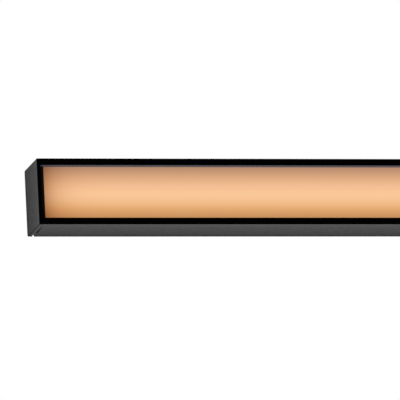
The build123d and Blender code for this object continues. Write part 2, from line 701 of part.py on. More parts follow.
def make_driver_case():
    """The driver's base and long sides, with a mounting ear at each end."""
    half = DRIVER_WIDTH / 2
    base_y = (-PAN_SHEET - DRIVER_SHEET, -PAN_SHEET)
    case = slab((DRIVER_START - DRIVER_EAR, driver_end_x + DRIVER_EAR), base_y, (-half, half))
    side_y = (-PAN_SHEET - DRIVER_HEIGHT + DRIVER_SHEET, -PAN_SHEET)
    for end in (-1, 1):
        case += slab((DRIVER_START, driver_end_x), side_y, (end * (half - DRIVER_SHEET), end * half))
    for x, z in driver_screw_places():
        case -= rod(M3_RADIUS + HOLE_CLEARANCE, (x, base_y[0] - 1, z), (x, base_y[1] + 1, z))
    return case


def make_driver_cover():
    """The driver's lid, with both end walls and their lead holes."""
    half = DRIVER_WIDTH / 2
    top_y = (-PAN_SHEET - DRIVER_HEIGHT, -PAN_SHEET - DRIVER_HEIGHT + DRIVER_SHEET)
    wall_y = (top_y[0], -PAN_SHEET - DRIVER_SHEET)
    inner = half - DRIVER_SHEET
    lid = slab((DRIVER_START, driver_end_x), top_y, (-half, half))
    for x in (DRIVER_START, driver_end_x - DRIVER_SHEET):
        lid += slab((x, x + DRIVER_SHEET), wall_y, (-inner, inner))
    lid = fillet(lid.edges().filter_by(Axis.X).group_by(Axis.Y)[0], 0.6 * DRIVER_SHEET)
    for x, z in driver_bush_places():
        lid -= rod(DRIVER_BUSH_RADIUS, (x - 3, driver_lead_y, z), (x + 3, driver_lead_y, z))
    return lid


def driver_bush_places():
    """The X and Z of the bushes in the driver's end walls, input side first."""
    spread = DRIVER_LEAD_SPREAD
    half_sheet = DRIVER_SHEET / 2
    ends = (DRIVER_START + half_sheet, driver_end_x - half_sheet)
    return [(x, end * spread) for x in ends for end in (-1, 1)]


def make_driver_bushes():
    """The bushes that the leads pass through in the driver's end walls."""
    bushes = []
    for x, z in driver_bush_places():
        half = DRIVER_BUSH_LENGTH / 2
        bush = rod(DRIVER_BUSH_RADIUS, (x - half, driver_lead_y, z), (x + half, driver_lead_y, z))
        bushes.append(bush - rod(LEAD_RADIUS, (x - half, driver_lead_y, z), (x + half, driver_lead_y, z)))
    return Compound(children=bushes)


def make_driver_board():
    """The driver's circuit board, on four studs."""
    gap = 2 * DRIVER_SHEET
    half = DRIVER_WIDTH / 2 - gap
    back_y = -PAN_SHEET - DRIVER_SHEET - DRIVER_BOARD_LIFT
    ends = (DRIVER_START + gap, driver_end_x - gap)
    board = slab(ends, (back_y - DRIVER_BOARD, back_y), (-half, half))
    for x in (ends[0] + gap, ends[1] - gap):
        for z in (-half + gap, half - gap):
            board += rod(gap / 2, (x, back_y, z), (x, -PAN_SHEET - DRIVER_SHEET, z))
    return board


def driver_board_front():
    """The Y of the board's component side."""
    return -PAN_SHEET - DRIVER_SHEET - DRIVER_BOARD_LIFT - DRIVER_BOARD


def core_limb():
    """The block that fills the middle limb of the transformer's core."""
    x = DRIVER_START + DRIVER_LENGTH * CORE_PLACE
    middle_y = driver_board_front() - CORE_SIZE[1] / 2
    deep, high = CORE_LIMB
    return Pos(x, middle_y, 0) * Box(CORE_SIZE[0], deep, high)


def make_driver_transformer():
    """The transformer's ferrite core: a frame with a limb across its window."""
    x = DRIVER_START + DRIVER_LENGTH * CORE_PLACE
    middle = Pos(x, driver_board_front() - CORE_SIZE[1] / 2, 0)
    window = middle * Box(CORE_WINDOW[0], CORE_SIZE[1], CORE_WINDOW[1])
    return middle * Box(*CORE_SIZE) - window + core_limb()


def make_driver_winding():
    """The taped winding round the limb of the transformer's core."""
    x = DRIVER_START + DRIVER_LENGTH * CORE_PLACE
    gap = 2 * WINDING_CLEARANCE
    size = (CORE_WINDOW[0] - gap, CORE_SIZE[1] - 2 * gap, CORE_WINDOW[1] - gap)
    return Pos(x, driver_board_front() - CORE_SIZE[1] / 2, 0) * Box(*size) - core_limb()


def make_driver_capacitors():
    """The electrolytic cans and the film capacitor, standing on the board."""
    back = driver_board_front()
    pieces = []
    for (share, z), (radius, height) in zip(CAN_PLACES, CAN_SIZES):
        x = DRIVER_START + DRIVER_LENGTH * share
        can = rod(radius, (x, back - height, z), (x, back, z))
        pieces.append(fillet(can.faces().sort_by(Axis.Y)[0].edges(), CAN_EDGE_RADIUS))
    film_x = DRIVER_START + DRIVER_LENGTH * FILM_PLACE
    pieces.append(Pos(film_x, back - FILM_SIZE[1] / 2, 0) * Box(*FILM_SIZE))
    return Compound(children=pieces)


def make_driver_screws():
    """The screws through the driver's ears into the pan."""
    seat = -PAN_SHEET - DRIVER_SHEET
    length = DRIVER_SHEET + PAN_SHEET
    screws = [pan_head_screw((x, seat, z), (0, 1, 0), length) for x, z in driver_screw_places()]
    return Compound(children=screws)


def pole_z(pole):
    """The height of one pole of the terminal block, live at the top."""
    return pole_pitch * ((len(POLES) - 1) / 2 - POLES.index(pole))


def make_terminal_block():
    """The terminal block, with a lever's pocket and a straight wire port for each pole."""
    block = slab((BLOCK_START, block_end_x), (block_top_y, -PAN_SHEET), (-block_half_width, block_half_width))
    block = fillet(block.edges().filter_by(Axis.Z).group_by(Axis.Y)[0], BLOCK_EDGE_RADIUS)
    for pole in POLES:
        z = pole_z(pole)
        half = LEVER_WIDTH / 2 + LEVER_SIDE_CLEARANCE
        floor_y = block_top_y + LEVER_THICKNESS + LEVER_FLOOR_CLEARANCE
        pocket_x = (BLOCK_START - 1, lever_pivot_x)
        block -= slab(pocket_x, (block_top_y - 1, floor_y), (z - half, z + half))
        barrel_room = LEVER_BARREL_RADIUS + LEVER_FLOOR_CLEARANCE
        block -= rod_z(barrel_room, lever_pivot_x, lever_pivot_y, (z - half, z + half))
        block -= slab(
            (lever_pivot_x - barrel_room, block_end_x + 1),
            (block_top_y - 1, lever_pivot_y),
            (z - half, z + half),
        )
        pin = half + LEVER_PIN_LENGTH
        pin_room = LEVER_PIN_RADIUS + THREAD_CLEARANCE
        block -= rod_z(pin_room, lever_pivot_x, lever_pivot_y, (z - pin, z + pin))
        block -= rod(WIRE_PORT_RADIUS, (BLOCK_START - 1, port_y, z), (block_end_x + 1, port_y, z))
    return block


def make_terminal_lever(pole):
    """One pole's lever: a blade, a barrel and two pivot pins."""
    z = pole_z(pole)
    half = LEVER_WIDTH / 2
    blade_x = (lever_pivot_x - LEVER_LENGTH, lever_pivot_x)
    blade = slab(blade_x, (block_top_y, block_top_y + LEVER_THICKNESS), (z - half, z + half))
    blade = fillet(blade.edges().filter_by(Axis.Y).group_by(Axis.X)[0], LEVER_TIP_RADIUS)
    barrel = rod_z(LEVER_BARREL_RADIUS, lever_pivot_x, lever_pivot_y, (z - half, z + half))
    reach = half + LEVER_SIDE_CLEARANCE + LEVER_PIN_LENGTH - 2 * THREAD_CLEARANCE
    pin = rod_z(LEVER_PIN_RADIUS, lever_pivot_x, lever_pivot_y, (z - reach, z + reach))
    return blade + barrel + pin


def earth_place():
    """The X and Z of the earth screw."""
    return block_end_x + EARTH_FROM_BLOCK[0], -(block_half_width + EARTH_FROM_BLOCK[1])


def make_earth_lug():
    """The ring, neck and barrel that the earth lead is crimped into."""
    x, z = earth_place()
    ring_y = (-PAN_SHEET - LUG_SHEET, -PAN_SHEET)
    barrel_y = -PAN_SHEET - LUG_BARREL_RADIUS
    start, stop = z + LUG_BARREL_START, z + LUG_BARREL_START + LUG_BARREL_LENGTH
    lug = rod(LUG_RADIUS, (x, ring_y[0], z), (x, ring_y[1], z))
    lug += slab((x - LUG_NECK / 2, x + LUG_NECK / 2), ring_y, (z, (start + stop) / 2))
    lug += rod(LUG_BARREL_RADIUS, (x, barrel_y, start), (x, barrel_y, stop))
    return lug - rod(M4_RADIUS + HOLE_CLEARANCE, (x, ring_y[0] - 1, z), (x, 0, z))


def make_earth_screw():
    """The green screw that holds the earth lug on the pan."""
    x, z = earth_place()
    seat = (x, -PAN_SHEET - LUG_SHEET, z)
    length = PAN_SHEET + LUG_SHEET
    return pan_head_screw(seat, (0, 1, 0), length, M4_RADIUS, M4_HEAD_RADIUS, EARTH_HEAD_HEIGHT)


def make_supply_lead(pole):
    """The live or neutral lead from the terminal block into the driver."""
    z = pole_z(pole)
    entry_x, entry_z = DRIVER_START + DRIVER_SHEET / 2, DRIVER_LEAD_SPREAD * (1 if pole == "live" else -1)
    inside = entry_x + DRIVER_BUSH_LENGTH / 2
    start_x = block_end_x - PORT_REACH
    return lead(
        [
            (start_x, port_y, z),
            (start_x + 9, port_y, z),
            (start_x + 20, (port_y + driver_lead_y) / 2, (z + entry_z) / 2 + 1.5),
            (inside - 9, driver_lead_y, entry_z),
            (inside, driver_lead_y, entry_z),
        ]
    )


def make_earth_lead():
    """The earth lead from the terminal block to the lug."""
    x, z = earth_place()
    pole = pole_z("earth")
    lug_top = z + LUG_BARREL_START + LUG_BARREL_LENGTH
    start_x = block_end_x - PORT_REACH
    lug_y = -PAN_SHEET - LUG_BARREL_RADIUS
    return lead(
        [
            (start_x, port_y, pole),
            (start_x + 7, port_y, pole),
            (start_x + 13, (port_y + lug_y) / 2, pole - 1.5),
            (x, lug_y, lug_top + 3),
            (x, lug_y, lug_top),
        ]
    )


def make_output_lead(end):
    """One output lead, from the driver through the tray to a strip's feed connector."""
    exit_x = driver_end_x - DRIVER_SHEET / 2 - DRIVER_BUSH_LENGTH / 2
    z = end * DRIVER_LEAD_SPREAD
    bush_z = end * 1.5
    connector_z = end * (strip_z - CONNECTOR_SIZE[1] / 2)
    front_y_of_lead = strip_y - CONNECTOR_SIZE[2] / 2
    return lead(
        [
            (exit_x, driver_lead_y, z),
            (exit_x + 9, driver_lead_y, z),
            (feed_x - 4, driver_lead_y - 3, end * 3),
            (feed_x, driver_lead_y - 12, bush_z),
            (feed_x, tray_y - 2, bush_z),
            (feed_x, front_y_of_lead, end * 3.5),
            (feed_x, front_y_of_lead, connector_z),
        ]
    )


def all_parts():
    """Every node's name and shape."""
    parts = {
        "top_rail": make_top_rail(),
        "bottom_rail": make_bottom_rail(),
        "diffuser": make_diffuser(),
        "gasket_upper": make_gasket(1),
        "gasket_lower": make_gasket(-1),
        "back_pan": make_back_pan(),
        "cable_grommet": make_cable_grommet(),
        "led_tray": make_led_tray(),
        "tray_screws": make_tray_screws(),
        "reflector_upper": make_side_reflector(1),
        "reflector_lower": make_side_reflector(-1),
        "strip_screws": make_strip_screws(),
        "strip_connectors": make_strip_connectors(),
        "lead_bush": make_lead_bush(),
        "driver_case": make_driver_case(),
        "driver_cover": make_driver_cover(),
        "driver_bushes": make_driver_bushes(),
        "driver_board": make_driver_board(),
        "driver_transformer": make_driver_transformer(),
        "driver_winding": make_driver_winding(),
        "driver_capacitors": make_driver_capacitors(),
        "driver_screws": make_driver_screws(),
        "terminal_block": make_terminal_block(),
        "earth_lug": make_earth_lug(),
        "earth_screw": make_earth_screw(),
        "live_lead": make_supply_lead("live"),
        "neutral_lead": make_supply_lead("neutral"),
        "earth_lead": make_earth_lead(),
        "output_lead_upper": make_output_lead(1),
        "output_lead_lower": make_output_lead(-1),
    }
    for pole in POLES:
        parts[f"terminal_lever_{pole}"] = make_terminal_lever(pole)
    for name, side in SIDES.items():
        parts[f"end_cap_{name}"] = make_end_cap(side)
        parts[f"cap_screws_{name}"] = make_cap_screws(side)
        parts[f"end_plug_{name}"] = make_end_plug(side)
        parts[f"plug_screws_{name}"] = make_plug_screws(side)
        parts[f"end_reflector_{name}"] = make_end_reflector(side)
        parts[f"clamp_nut_{name}"] = make_clamp_nut(side)
        parts[f"clamp_screw_{name}"] = make_clamp_screw(side)
        parts[f"clamp_ear_{name}"] = make_clamp_ear(side)
        for row, end in (("upper", 1), ("lower", -1)):
            parts[f"led_strip_{row}_{name}"] = make_led_strip(side, end)
            parts[f"led_chips_{row}_{name}"] = make_led_chips(side, end)
    return parts


def main():
    """Writes one STEP file for each node."""
    os.makedirs("parts", exist_ok=True)
    for name, shape in all_parts().items():
        export_step(shape, f"parts/{name}.step")


main()
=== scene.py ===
"""Looks of the LED vanity light bar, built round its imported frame, in metres.

The frame's nodes keep their shape and are dressed here. The LED packages, their solder pads and
the resistors between them are made by Geometry Nodes on the four strips, and stand for the plain
chips of the frame.
"""

import logging
import math
from abc import ABC, abstractmethod
from dataclasses import dataclass
from enum import Enum
from typing import Any

import bmesh
import bpy
from mathutils import Matrix, Vector


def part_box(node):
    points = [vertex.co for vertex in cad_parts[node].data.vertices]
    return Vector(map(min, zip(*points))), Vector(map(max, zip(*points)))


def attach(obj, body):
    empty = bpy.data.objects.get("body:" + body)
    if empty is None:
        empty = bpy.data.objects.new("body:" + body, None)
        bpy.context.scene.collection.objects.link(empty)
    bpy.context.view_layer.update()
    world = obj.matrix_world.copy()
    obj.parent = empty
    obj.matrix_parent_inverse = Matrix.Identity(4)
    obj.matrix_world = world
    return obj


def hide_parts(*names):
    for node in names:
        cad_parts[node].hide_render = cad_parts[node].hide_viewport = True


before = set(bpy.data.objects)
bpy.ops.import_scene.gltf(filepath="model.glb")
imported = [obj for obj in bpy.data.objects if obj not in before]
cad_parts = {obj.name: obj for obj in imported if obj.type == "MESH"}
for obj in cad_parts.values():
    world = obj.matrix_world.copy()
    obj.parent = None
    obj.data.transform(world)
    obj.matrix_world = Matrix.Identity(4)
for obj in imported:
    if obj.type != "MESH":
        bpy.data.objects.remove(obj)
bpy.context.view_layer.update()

LOG = logging.getLogger("light_bar")
MM = 0.001

Colour = tuple[float, float, float]
ColourOrSocket = Colour | bpy.types.NodeSocket

ROUND, SQUARE = 0.0, 1.0
BLOCK_POINTS = 8


class Side(Enum):
    """The two ends of the bar, by the sign of X."""

    LEFT = -1
    RIGHT = 1


class Row(Enum):
    """The two rows of LED strips, by the sign of Z."""

    LOWER = -1
    UPPER = 1


# ------------------------------------------------------------------ node trees


class Term:
    """A number that flows through a shader tree, with arithmetic that adds Math nodes."""

    def __init__(self, graph: "ShaderGraph", socket: bpy.types.NodeSocket) -> None:
        """Wraps a socket.

        Args:
            graph: the tree that the socket is in.
            socket: an output socket that carries a number.
        """
        self.graph = graph
        self.socket = socket

    def math(self, operation: str, *others: "Term | float", clamp: bool = False) -> "Term":
        """Adds a Math node whose first value is this term.

        Args:
            operation: the Math node's operation.
            others: its other values, in order.
            clamp: whether the result is held between 0 and 1.

        Returns:
            The node's result.
        """
        values = {i: value for i, value in enumerate((self, *others))}
        settings = {"operation": operation, "use_clamp": clamp}
        node = self.graph.node("ShaderNodeMath", settings, values)
        return Term(self.graph, node.outputs[0])

    def __add__(self, other: "Term | float") -> "Term":
        """This plus another."""
        return self.math("ADD", other)

    __radd__ = __add__

    def __mul__(self, other: "Term | float") -> "Term":
        """This times another."""
        return self.math("MULTIPLY", other)

    __rmul__ = __mul__

    def __sub__(self, other: "Term | float") -> "Term":
        """This minus another."""
        return self.math("SUBTRACT", other)

    def __rsub__(self, other: "Term | float") -> "Term":
        """Another minus this."""
        return (self * -1.0) + other

    def __truediv__(self, other: "Term | float") -> "Term":
        """This over another."""
        return self.math("DIVIDE", other)

    def __abs__(self) -> "Term":
        """This without its sign."""
        return self.math("ABSOLUTE")

    def clamped(self) -> "Term":
        """This, held between 0 and 1."""
        return self.math("ADD", 0.0, clamp=True)

    def beyond(self, limit: float, width: float) -> "Term":
        """A soft step: 0 up to a limit, and 1 from a width above it."""
        return ((self - limit) * (1 / width)).clamped()

    def within(self, limit: float, width: float) -> "Term":
        """A soft step: 0 from a limit up, and 1 below a width under it."""
        return ((limit - self) * (1 / width)).clamped()

    def exp(self) -> "Term":
        """The exponential of this."""
        return self.math("EXPONENT")

    def about(self, middle: float, swing: float) -> "Term":
        """This noise, which lies round 0.5, brought round another middle with a given swing."""
        return (self - 0.5) * swing + middle


class NodeGraph:
    """A node tree that is written by one method for every kind of node."""

    def __init__(self, tree: bpy.types.NodeTree) -> None:
        """Starts on an empty tree.

        Args:
            tree: the shader or geometry tree to fill.
        """
        self.tree = tree

    def node(self, kind: str, settings: dict[str, Any], inputs: dict[int | str, Any]) -> bpy.types.Node:
        """Adds a node.

        Args:
            kind: the node's type.
            settings: the node's properties, which are set first. "stops" are a ramp's stops.
            inputs: a value, a socket or a Term for each input, by its name or index.

        Returns:
            The new node.
        """
        node = self.tree.nodes.new(kind)
        for name, value in settings.items():
            if name == "stops":
                self._set_stops(node.color_ramp, value)
            else:
                setattr(node, name, value)
        for key, value in inputs.items():
            if isinstance(value, Term):
                value = value.socket
            if isinstance(value, bpy.types.NodeSocket):
                self.tree.links.new(value, node.inputs[key])
            else:
                node.inputs[key].default_value = value
        return node

    @staticmethod
    def _set_stops(ramp: bpy.types.ColorRamp, stops: list[tuple[float, Colour]]) -> None:
        """Gives a colour ramp its stops.

        Args:
            ramp: the ramp.
            stops: each stop's position and colour, in order.
        """
        while len(ramp.elements) < len(stops):
            ramp.elements.new(1.0)
        for element, (position, colour) in zip(ramp.elements, stops):
            element.position = position
            element.color = (*colour, 1.0)


class ShaderGraph(NodeGraph):
    """A material's tree, with the few shorthands that every finish here uses."""

    def __init__(self, name: str) -> None:
        """Makes an empty material.

        Args:
            name: the material's name.
        """
        self.material = bpy.data.materials.new(name)
        self.material.use_nodes = True
        super().__init__(self.material.node_tree)
        self.tree.nodes.clear()
        self.coordinates = self.node("ShaderNodeTexCoord", {}, {}).outputs["Object"]

    def axis(self, name: str) -> Term:
        """One of the object's own coordinates, in metres.

        Args:
            name: X, Y or Z.

        Returns:
            The coordinate.
        """
        return Term(self, self.node("ShaderNodeSeparateXYZ", {}, {0: self.coordinates}).outputs[name])

    def stretched(self, scale: tuple[float, float, float]) -> bpy.types.NodeSocket:
        """The object's coordinates, scaled along each axis.

        Args:
            scale: the factor on X, Y and Z.

        Returns:
            The scaled vector.
        """
        return self.node("ShaderNodeMapping", {}, {"Vector": self.coordinates, "Scale": scale}).outputs[0]

    def noise(self, size: float, detail: float = 2.0, vector: bpy.types.NodeSocket | None = None) -> Term:
        """A noise of a given grain.

        Args:
            size: the grain's size, in metres.
            detail: how many octaves it has.
            vector: its coordinates, if not the object's own.

        Returns:
            The noise, round 0.5.
        """
        inputs = {"Vector": vector or self.coordinates, "Scale": 1.0 / size, "Detail": detail}
        return Term(self, self.node("ShaderNodeTexNoise", {}, inputs).outputs[0])

    def cells(self, size: float, output: str = "Distance") -> bpy.types.NodeSocket:
        """A pattern of cells of a given size.

        Args:
            size: a cell's size, in metres.
            output: the Voronoi node's output.

        Returns:
            That output.
        """
        node = self.node("ShaderNodeTexVoronoi", {}, {"Vector": self.coordinates, "Scale": 1.0 / size})
        return node.outputs[output]

    def blend(self, factor: Term, low: ColourOrSocket, high: ColourOrSocket) -> bpy.types.NodeSocket:
        """Mixes two colours.

        Args:
            factor: 0 for the first colour, 1 for the second.
            low: the first colour, or a socket that carries one.
            high: the second colour, or a socket that carries one.

        Returns:
            The mixed colour.
        """
        sides = [c if isinstance(c, bpy.types.NodeSocket) else (*c, 1.0) for c in (low, high)]
        inputs = {0: factor, 6: sides[0], 7: sides[1]}
        return self.node("ShaderNodeMix", {"data_type": "RGBA"}, inputs).outputs[2]

    def scaled(self, colour: ColourOrSocket, amount: Term) -> bpy.types.NodeSocket:
        """Multiplies a colour by a number.

        Args:
            colour: the colour, or a socket that carries one.
            amount: the number.

        Returns:
            The scaled colour.
        """
        grey = self.node("ShaderNodeCombineXYZ", {}, {0: amount, 1: amount, 2: amount}).outputs[0]
        inputs = {0: colour, 1: grey}
        return self.node("ShaderNodeVectorMath", {"operation": "MULTIPLY"}, inputs).outputs[0]

    def bump(self, height: Term, distance: float, strength: float = 1.0) -> bpy.types.NodeSocket:
        """A normal that is bent by a height.

        Args:
            height: the height, from 0 to 1.
            distance: what a height of 1 stands for, in metres.
            strength: how strongly it shows.

        Returns:
            The normal.
        """
        inputs = {"Strength": strength, "Distance": distance, "Height": height}
        return self.node("ShaderNodeBump", {}, inputs).outputs[0]

    def surface(self, inputs: dict[str, Any]) -> bpy.types.Material:
        """Ends the tree in a Principled shader.

        Args:
            inputs: the shader's values and links, by name.

        Returns:
            The finished material.
        """
        shader = self.node("ShaderNodeBsdfPrincipled", {}, inputs)
        self.node("ShaderNodeOutputMaterial", {}, {"Surface": shader.outputs[0]})
        return self.material


# ------------------------------------------------------------------ finishes


@dataclass(frozen=True)
class Finish(ABC):
    """A surface that pieces can be dressed in."""

    name: str

    @abstractmethod
    def material(self) -> bpy.types.Material:
        """Builds the finish's material."""


@dataclass(frozen=True)
class PowderCoatWithPaintedShade(Finish):
    """Black powder coat with a fine pebbled skin, and light and shade painted into its colour.

    Its front faces are painted near black as shade, and its sides greyer, with painted shade that
    darkens them towards the wall and along the rounded corners of the end caps. The lips' inner
    edges carry a paler painted light from the glow.
    """

    front: float
    back: float
    # how deep the front faces' painted shade reaches back
    front_shade_depth: float
    lip_height: float
    lip_reach: float
    corner: tuple[float, float]
    # painted shade along the rounded corners of the end caps: how wide it is and how much colour it takes
    # away
    corner_width: float = 1.8 * MM
    corner_painted_shade: float = 0.55
    blur: float = 0.3 * MM
    lip_blur: float = 0.1 * MM
    # painted shade: the near-black colour of the front faces, which stand in the dim light before the bar
    front_shade_colour: Colour = (0.0006, 0.0006, 0.0007)
    # painted light: the paler colour of the lips' inner faces, as if lit by the glow and from below
    lip_painted_light_colour: Colour = (0.120, 0.150, 0.210)
    # painted light and shade: the sides' grey, palest by the front edge and darkening back to the wall
    painted_shades: tuple[tuple[float, Colour], ...] = (
        (0.00, (0.088, 0.085, 0.087)),
        (0.18, (0.068, 0.066, 0.067)),
        (0.80, (0.036, 0.035, 0.036)),
        (1.00, (0.008, 0.008, 0.008)),
    )
    shade_swing: float = 0.12
    grain: float = 0.55 * MM
    grain_swing: float = 0.5
    mottle: float = 9 * MM
    roughness: float = 0.5
    roughness_swing: float = 0.16
    depth: float = 0.035 * MM
    specular: float = 0.02

    def material(self) -> bpy.types.Material:
        """Builds the powder coat.

        Returns:
            The material.
        """
        graph = ShaderGraph(self.name)
        y = graph.axis("Y")
        from_middle, from_axis = abs(graph.axis("X")), abs(graph.axis("Z"))
        # painted shade mask: 0 on the front faces, which take the painted near black, and 1 behind them
        behind = y.beyond(self.front + self.front_shade_depth, self.blur)
        along = (y - self.front) / (self.back - self.front)
        # painted light mask on the lips' inner faces round the window
        lip_edge = from_axis.within(self.lip_height, self.lip_blur)
        lit_lip_mask = lip_edge * from_middle.within(self.lip_reach, self.lip_blur)
        # painted shade mask on the rounded corners of the end caps
        end = from_middle.beyond(self.corner[0] - self.corner_width, self.blur)
        corner = end * from_axis.beyond(self.corner[1] - self.corner_width, self.blur)
        mottle = graph.noise(self.mottle, detail=3.0)
        grain = graph.noise(self.grain, detail=2.0)
        # painted shade by depth, with a random swing from the mottle
        share = (along + mottle.about(0.0, self.shade_swing)).clamped()
        painted_shade = graph.node("ShaderNodeValToRGB", {"stops": list(self.painted_shades)}, {0: share}).outputs[0]
        side = graph.blend(lit_lip_mask, painted_shade, self.lip_painted_light_colour)
        # the colour's share left after the corners' painted shade
        left_after_corner_shade = 1 - corner * self.corner_painted_shade
        flecked = graph.scaled(side, grain.about(1.0, self.grain_swing) * left_after_corner_shade)
        return graph.surface(
            {
                "Base Color": graph.blend(behind, self.front_shade_colour, flecked),
                "Roughness": mottle.about(self.roughness, self.roughness_swing),
                "Specular IOR Level": self.specular,
                "Normal": graph.bump(grain, self.depth, strength=0.5),
            }
        )


@dataclass(frozen=True)
class CastBlack(Finish):
    """Matt black paint on a die casting."""

    colour: Colour = (0.006, 0.006, 0.0065)
    colour_swing: float = 1.0
    grain: float = 0.9 * MM
    roughness: float = 0.62
    roughness_swing: float = 0.2
    depth: float = 0.05 * MM
    specular: float = 0.2

    def material(self) -> bpy.types.Material:
        """Builds the matt black paint.

        Returns:
            The material.
        """
        graph = ShaderGraph(self.name)
        grain = graph.noise(self.grain, detail=4.0)
        return graph.surface(
            {
                "Base Color": graph.scaled(self.colour, grain.about(1.0, self.colour_swing)),
                "Roughness": grain.about(self.roughness, self.roughness_swing),
                "Specular IOR Level": self.specular,
                "Normal": graph.bump(grain, self.depth, strength=0.6),
            }
        )


@dataclass(frozen=True)
class OpalGlow(Finish):
    """The lit opal sheet: brightest along its middle, and dimmer and redder towards its ends."""

    half_length: float
    half_height: float
    centre_z: float = -2.0 * MM
    spread: float = 39 * MM
    peak: float = 0.94
    end_drop: float = 0.51
    end_reach: float = 21 * MM
    end_tint: Colour = (1.0, 0.81, 0.655)
    tint_reach: float = 26 * MM
    hues: tuple[tuple[float, Colour], ...] = (
        (-42 * MM, (1.0, 0.484, 0.190)),
        (-30 * MM, (1.0, 0.502, 0.204)),
        (-20 * MM, (1.0, 0.550, 0.260)),
        (-10 * MM, (1.0, 0.583, 0.312)),
        (-1 * MM, (1.0, 0.604, 0.330)),
        (12 * MM, (1.0, 0.571, 0.317)),
        (30 * MM, (1.0, 0.545, 0.294)),
        (43 * MM, (1.0, 0.537, 0.318)),
    )
    sheet_colour: Colour = (0.03, 0.027, 0.024)
    sheet_swing: float = 0.2
    grain: float = 0.4 * MM
    roughness: float = 0.55
    roughness_swing: float = 0.1
    specular: float = 0.05

    def material(self) -> bpy.types.Material:
        """Builds the lit sheet.

        Returns:
            The material.
        """
        graph = ShaderGraph(self.name)
        height = graph.axis("Z") - self.centre_z
        bell = (height * height * (-0.5 / self.spread**2)).exp()
        from_end = self.half_length - abs(graph.axis("X"))
        ends = 1 - (from_end * (-1 / self.end_reach)).exp() * self.end_drop
        redder = (from_end * (-1 / self.tint_reach)).exp()
        share = (graph.axis("Z") / (2 * self.half_height) + 0.5).clamped()
        stops = [(z / (2 * self.half_height) + 0.5, colour) for z, colour in self.hues]
        hue = graph.node("ShaderNodeValToRGB", {"stops": stops}, {0: share}).outputs[0]
        tint = graph.blend(redder, (1.0, 1.0, 1.0), self.end_tint)
        tinted = graph.node("ShaderNodeVectorMath", {"operation": "MULTIPLY"}, {0: hue, 1: tint}).outputs[0]
        grain = graph.noise(self.grain, detail=1.0)
        return graph.surface(
            {
                "Base Color": graph.scaled(self.sheet_colour, grain.about(1.0, self.sheet_swing)),
                "Roughness": grain.about(self.roughness, self.roughness_swing),
                "Emission Color": graph.scaled(tinted, bell * ends * self.peak),
                "Emission Strength": 1.0,
                "Specular IOR Level": self.specular,
            }
        )


@dataclass(frozen=True)
class GalvanisedSheet(Finish):
    """Hot-dip galvanised sheet with a fine spangle."""

    dark: Colour = (0.36, 0.38, 0.40)
    light: Colour = (0.58, 0.60, 0.62)
    spangle: float = 9 * MM
    haze_size: float = 2.2 * MM
    haze_share: float = 0.3
    roughness: float = 0.39
    crystal_swing: float = 0.14
    haze_swing: float = 0.08
    depth: float = 0.02 * MM
    metallic: float = 0.6

    def material(self) -> bpy.types.Material:
        """Builds the spangled zinc.

        Returns:
            The material.
        """
        graph = ShaderGraph(self.name)
        tone = graph.node("ShaderNodeSeparateColor", {}, {0: graph.cells(self.spangle, "Color")}).outputs[0]
        crystal = Term(graph, tone)
        haze = graph.noise(self.haze_size, detail=4.0)
        tones = (crystal * (1 - self.haze_share) + haze * self.haze_share).clamped()
        crystal_roughness = crystal.about(self.roughness, self.crystal_swing)
        return graph.surface(
            {
                "Base Color": graph.blend(tones, self.dark, self.light),
                "Metallic": self.metallic,
                "Roughness": crystal_roughness + haze.about(0.0, self.haze_swing),
                "Normal": graph.bump((crystal + haze) * 0.5, self.depth, strength=0.3),
            }
        )


@dataclass(frozen=True)
class DrawnMetal(Finish):
    """Bare or plated metal with fine lines along the bar."""

    colour: Colour = (0.72, 0.73, 0.74)
    line: float = 0.5 * MM
    length: float = 30.0
    line_swing: float = 0.16
    lines_per_cloud: float = 40.0
    cloud_swing: float = 0.12
    roughness: float = 0.32
    line_roughness_swing: float = 0.22
    cloud_roughness_swing: float = 0.1
    depth: float = 0.01 * MM

    def material(self) -> bpy.types.Material:
        """Builds the lined metal.

        Returns:
            The material.
        """
        graph = ShaderGraph(self.name)
        along_bar = graph.stretched((1 / self.length, 1.0, 1.0))
        lines = graph.noise(self.line, detail=3.0, vector=along_bar)
        cloud = graph.noise(self.lines_per_cloud * self.line, detail=2.0)
        tone = lines.about(1.0, self.line_swing) + cloud.about(0.0, self.cloud_swing)
        lined = lines.about(self.roughness, self.line_roughness_swing)
        return graph.surface(
            {
                "Base Color": graph.scaled(self.colour, tone),
                "Metallic": 1.0,
                "Roughness": lined + cloud.about(0.0, self.cloud_roughness_swing),
                "Normal": graph.bump(lines, self.depth, strength=0.35),
            }
        )


def fine_plating(name: str, colour: Colour = DrawnMetal.colour) -> DrawnMetal:
    """The plating of a small metal piece, with finer and shorter lines than sheet has.

    Args:
        name: the material's name.
        colour: the plating's colour.

    Returns:
        The finish.
    """
    return DrawnMetal(name, colour=colour, line=0.3 * MM, length=4.0)


def zinc_plating(name: str) -> DrawnMetal:
    """The dull zinc of screws and nuts."""
    return fine_plating(name, (0.62, 0.62, 0.60))


@dataclass(frozen=True)
class Paint(Finish):
    """Smooth paint with a faint orange peel."""

    colour: Colour
    peel: float = 1.6 * MM
    peels_per_cloud: float = 25.0
    roughness: float = 0.42
    roughness_swing: float = 0.15
    depth: float = 0.03 * MM
    soiling: float = 0.06

    def material(self) -> bpy.types.Material:
        """Builds the paint.

        Returns:
            The material.
        """
        graph = ShaderGraph(self.name)
        peel = graph.noise(self.peel, detail=1.0)
        cloud = graph.noise(self.peels_per_cloud * self.peel, detail=3.0)
        return graph.surface(
            {
                "Base Color": graph.scaled(self.colour, cloud.about(1 - self.soiling, 2 * self.soiling)),
                "Roughness": cloud.about(self.roughness, self.roughness_swing),
                "Normal": graph.bump(peel, self.depth, strength=0.25),
            }
        )


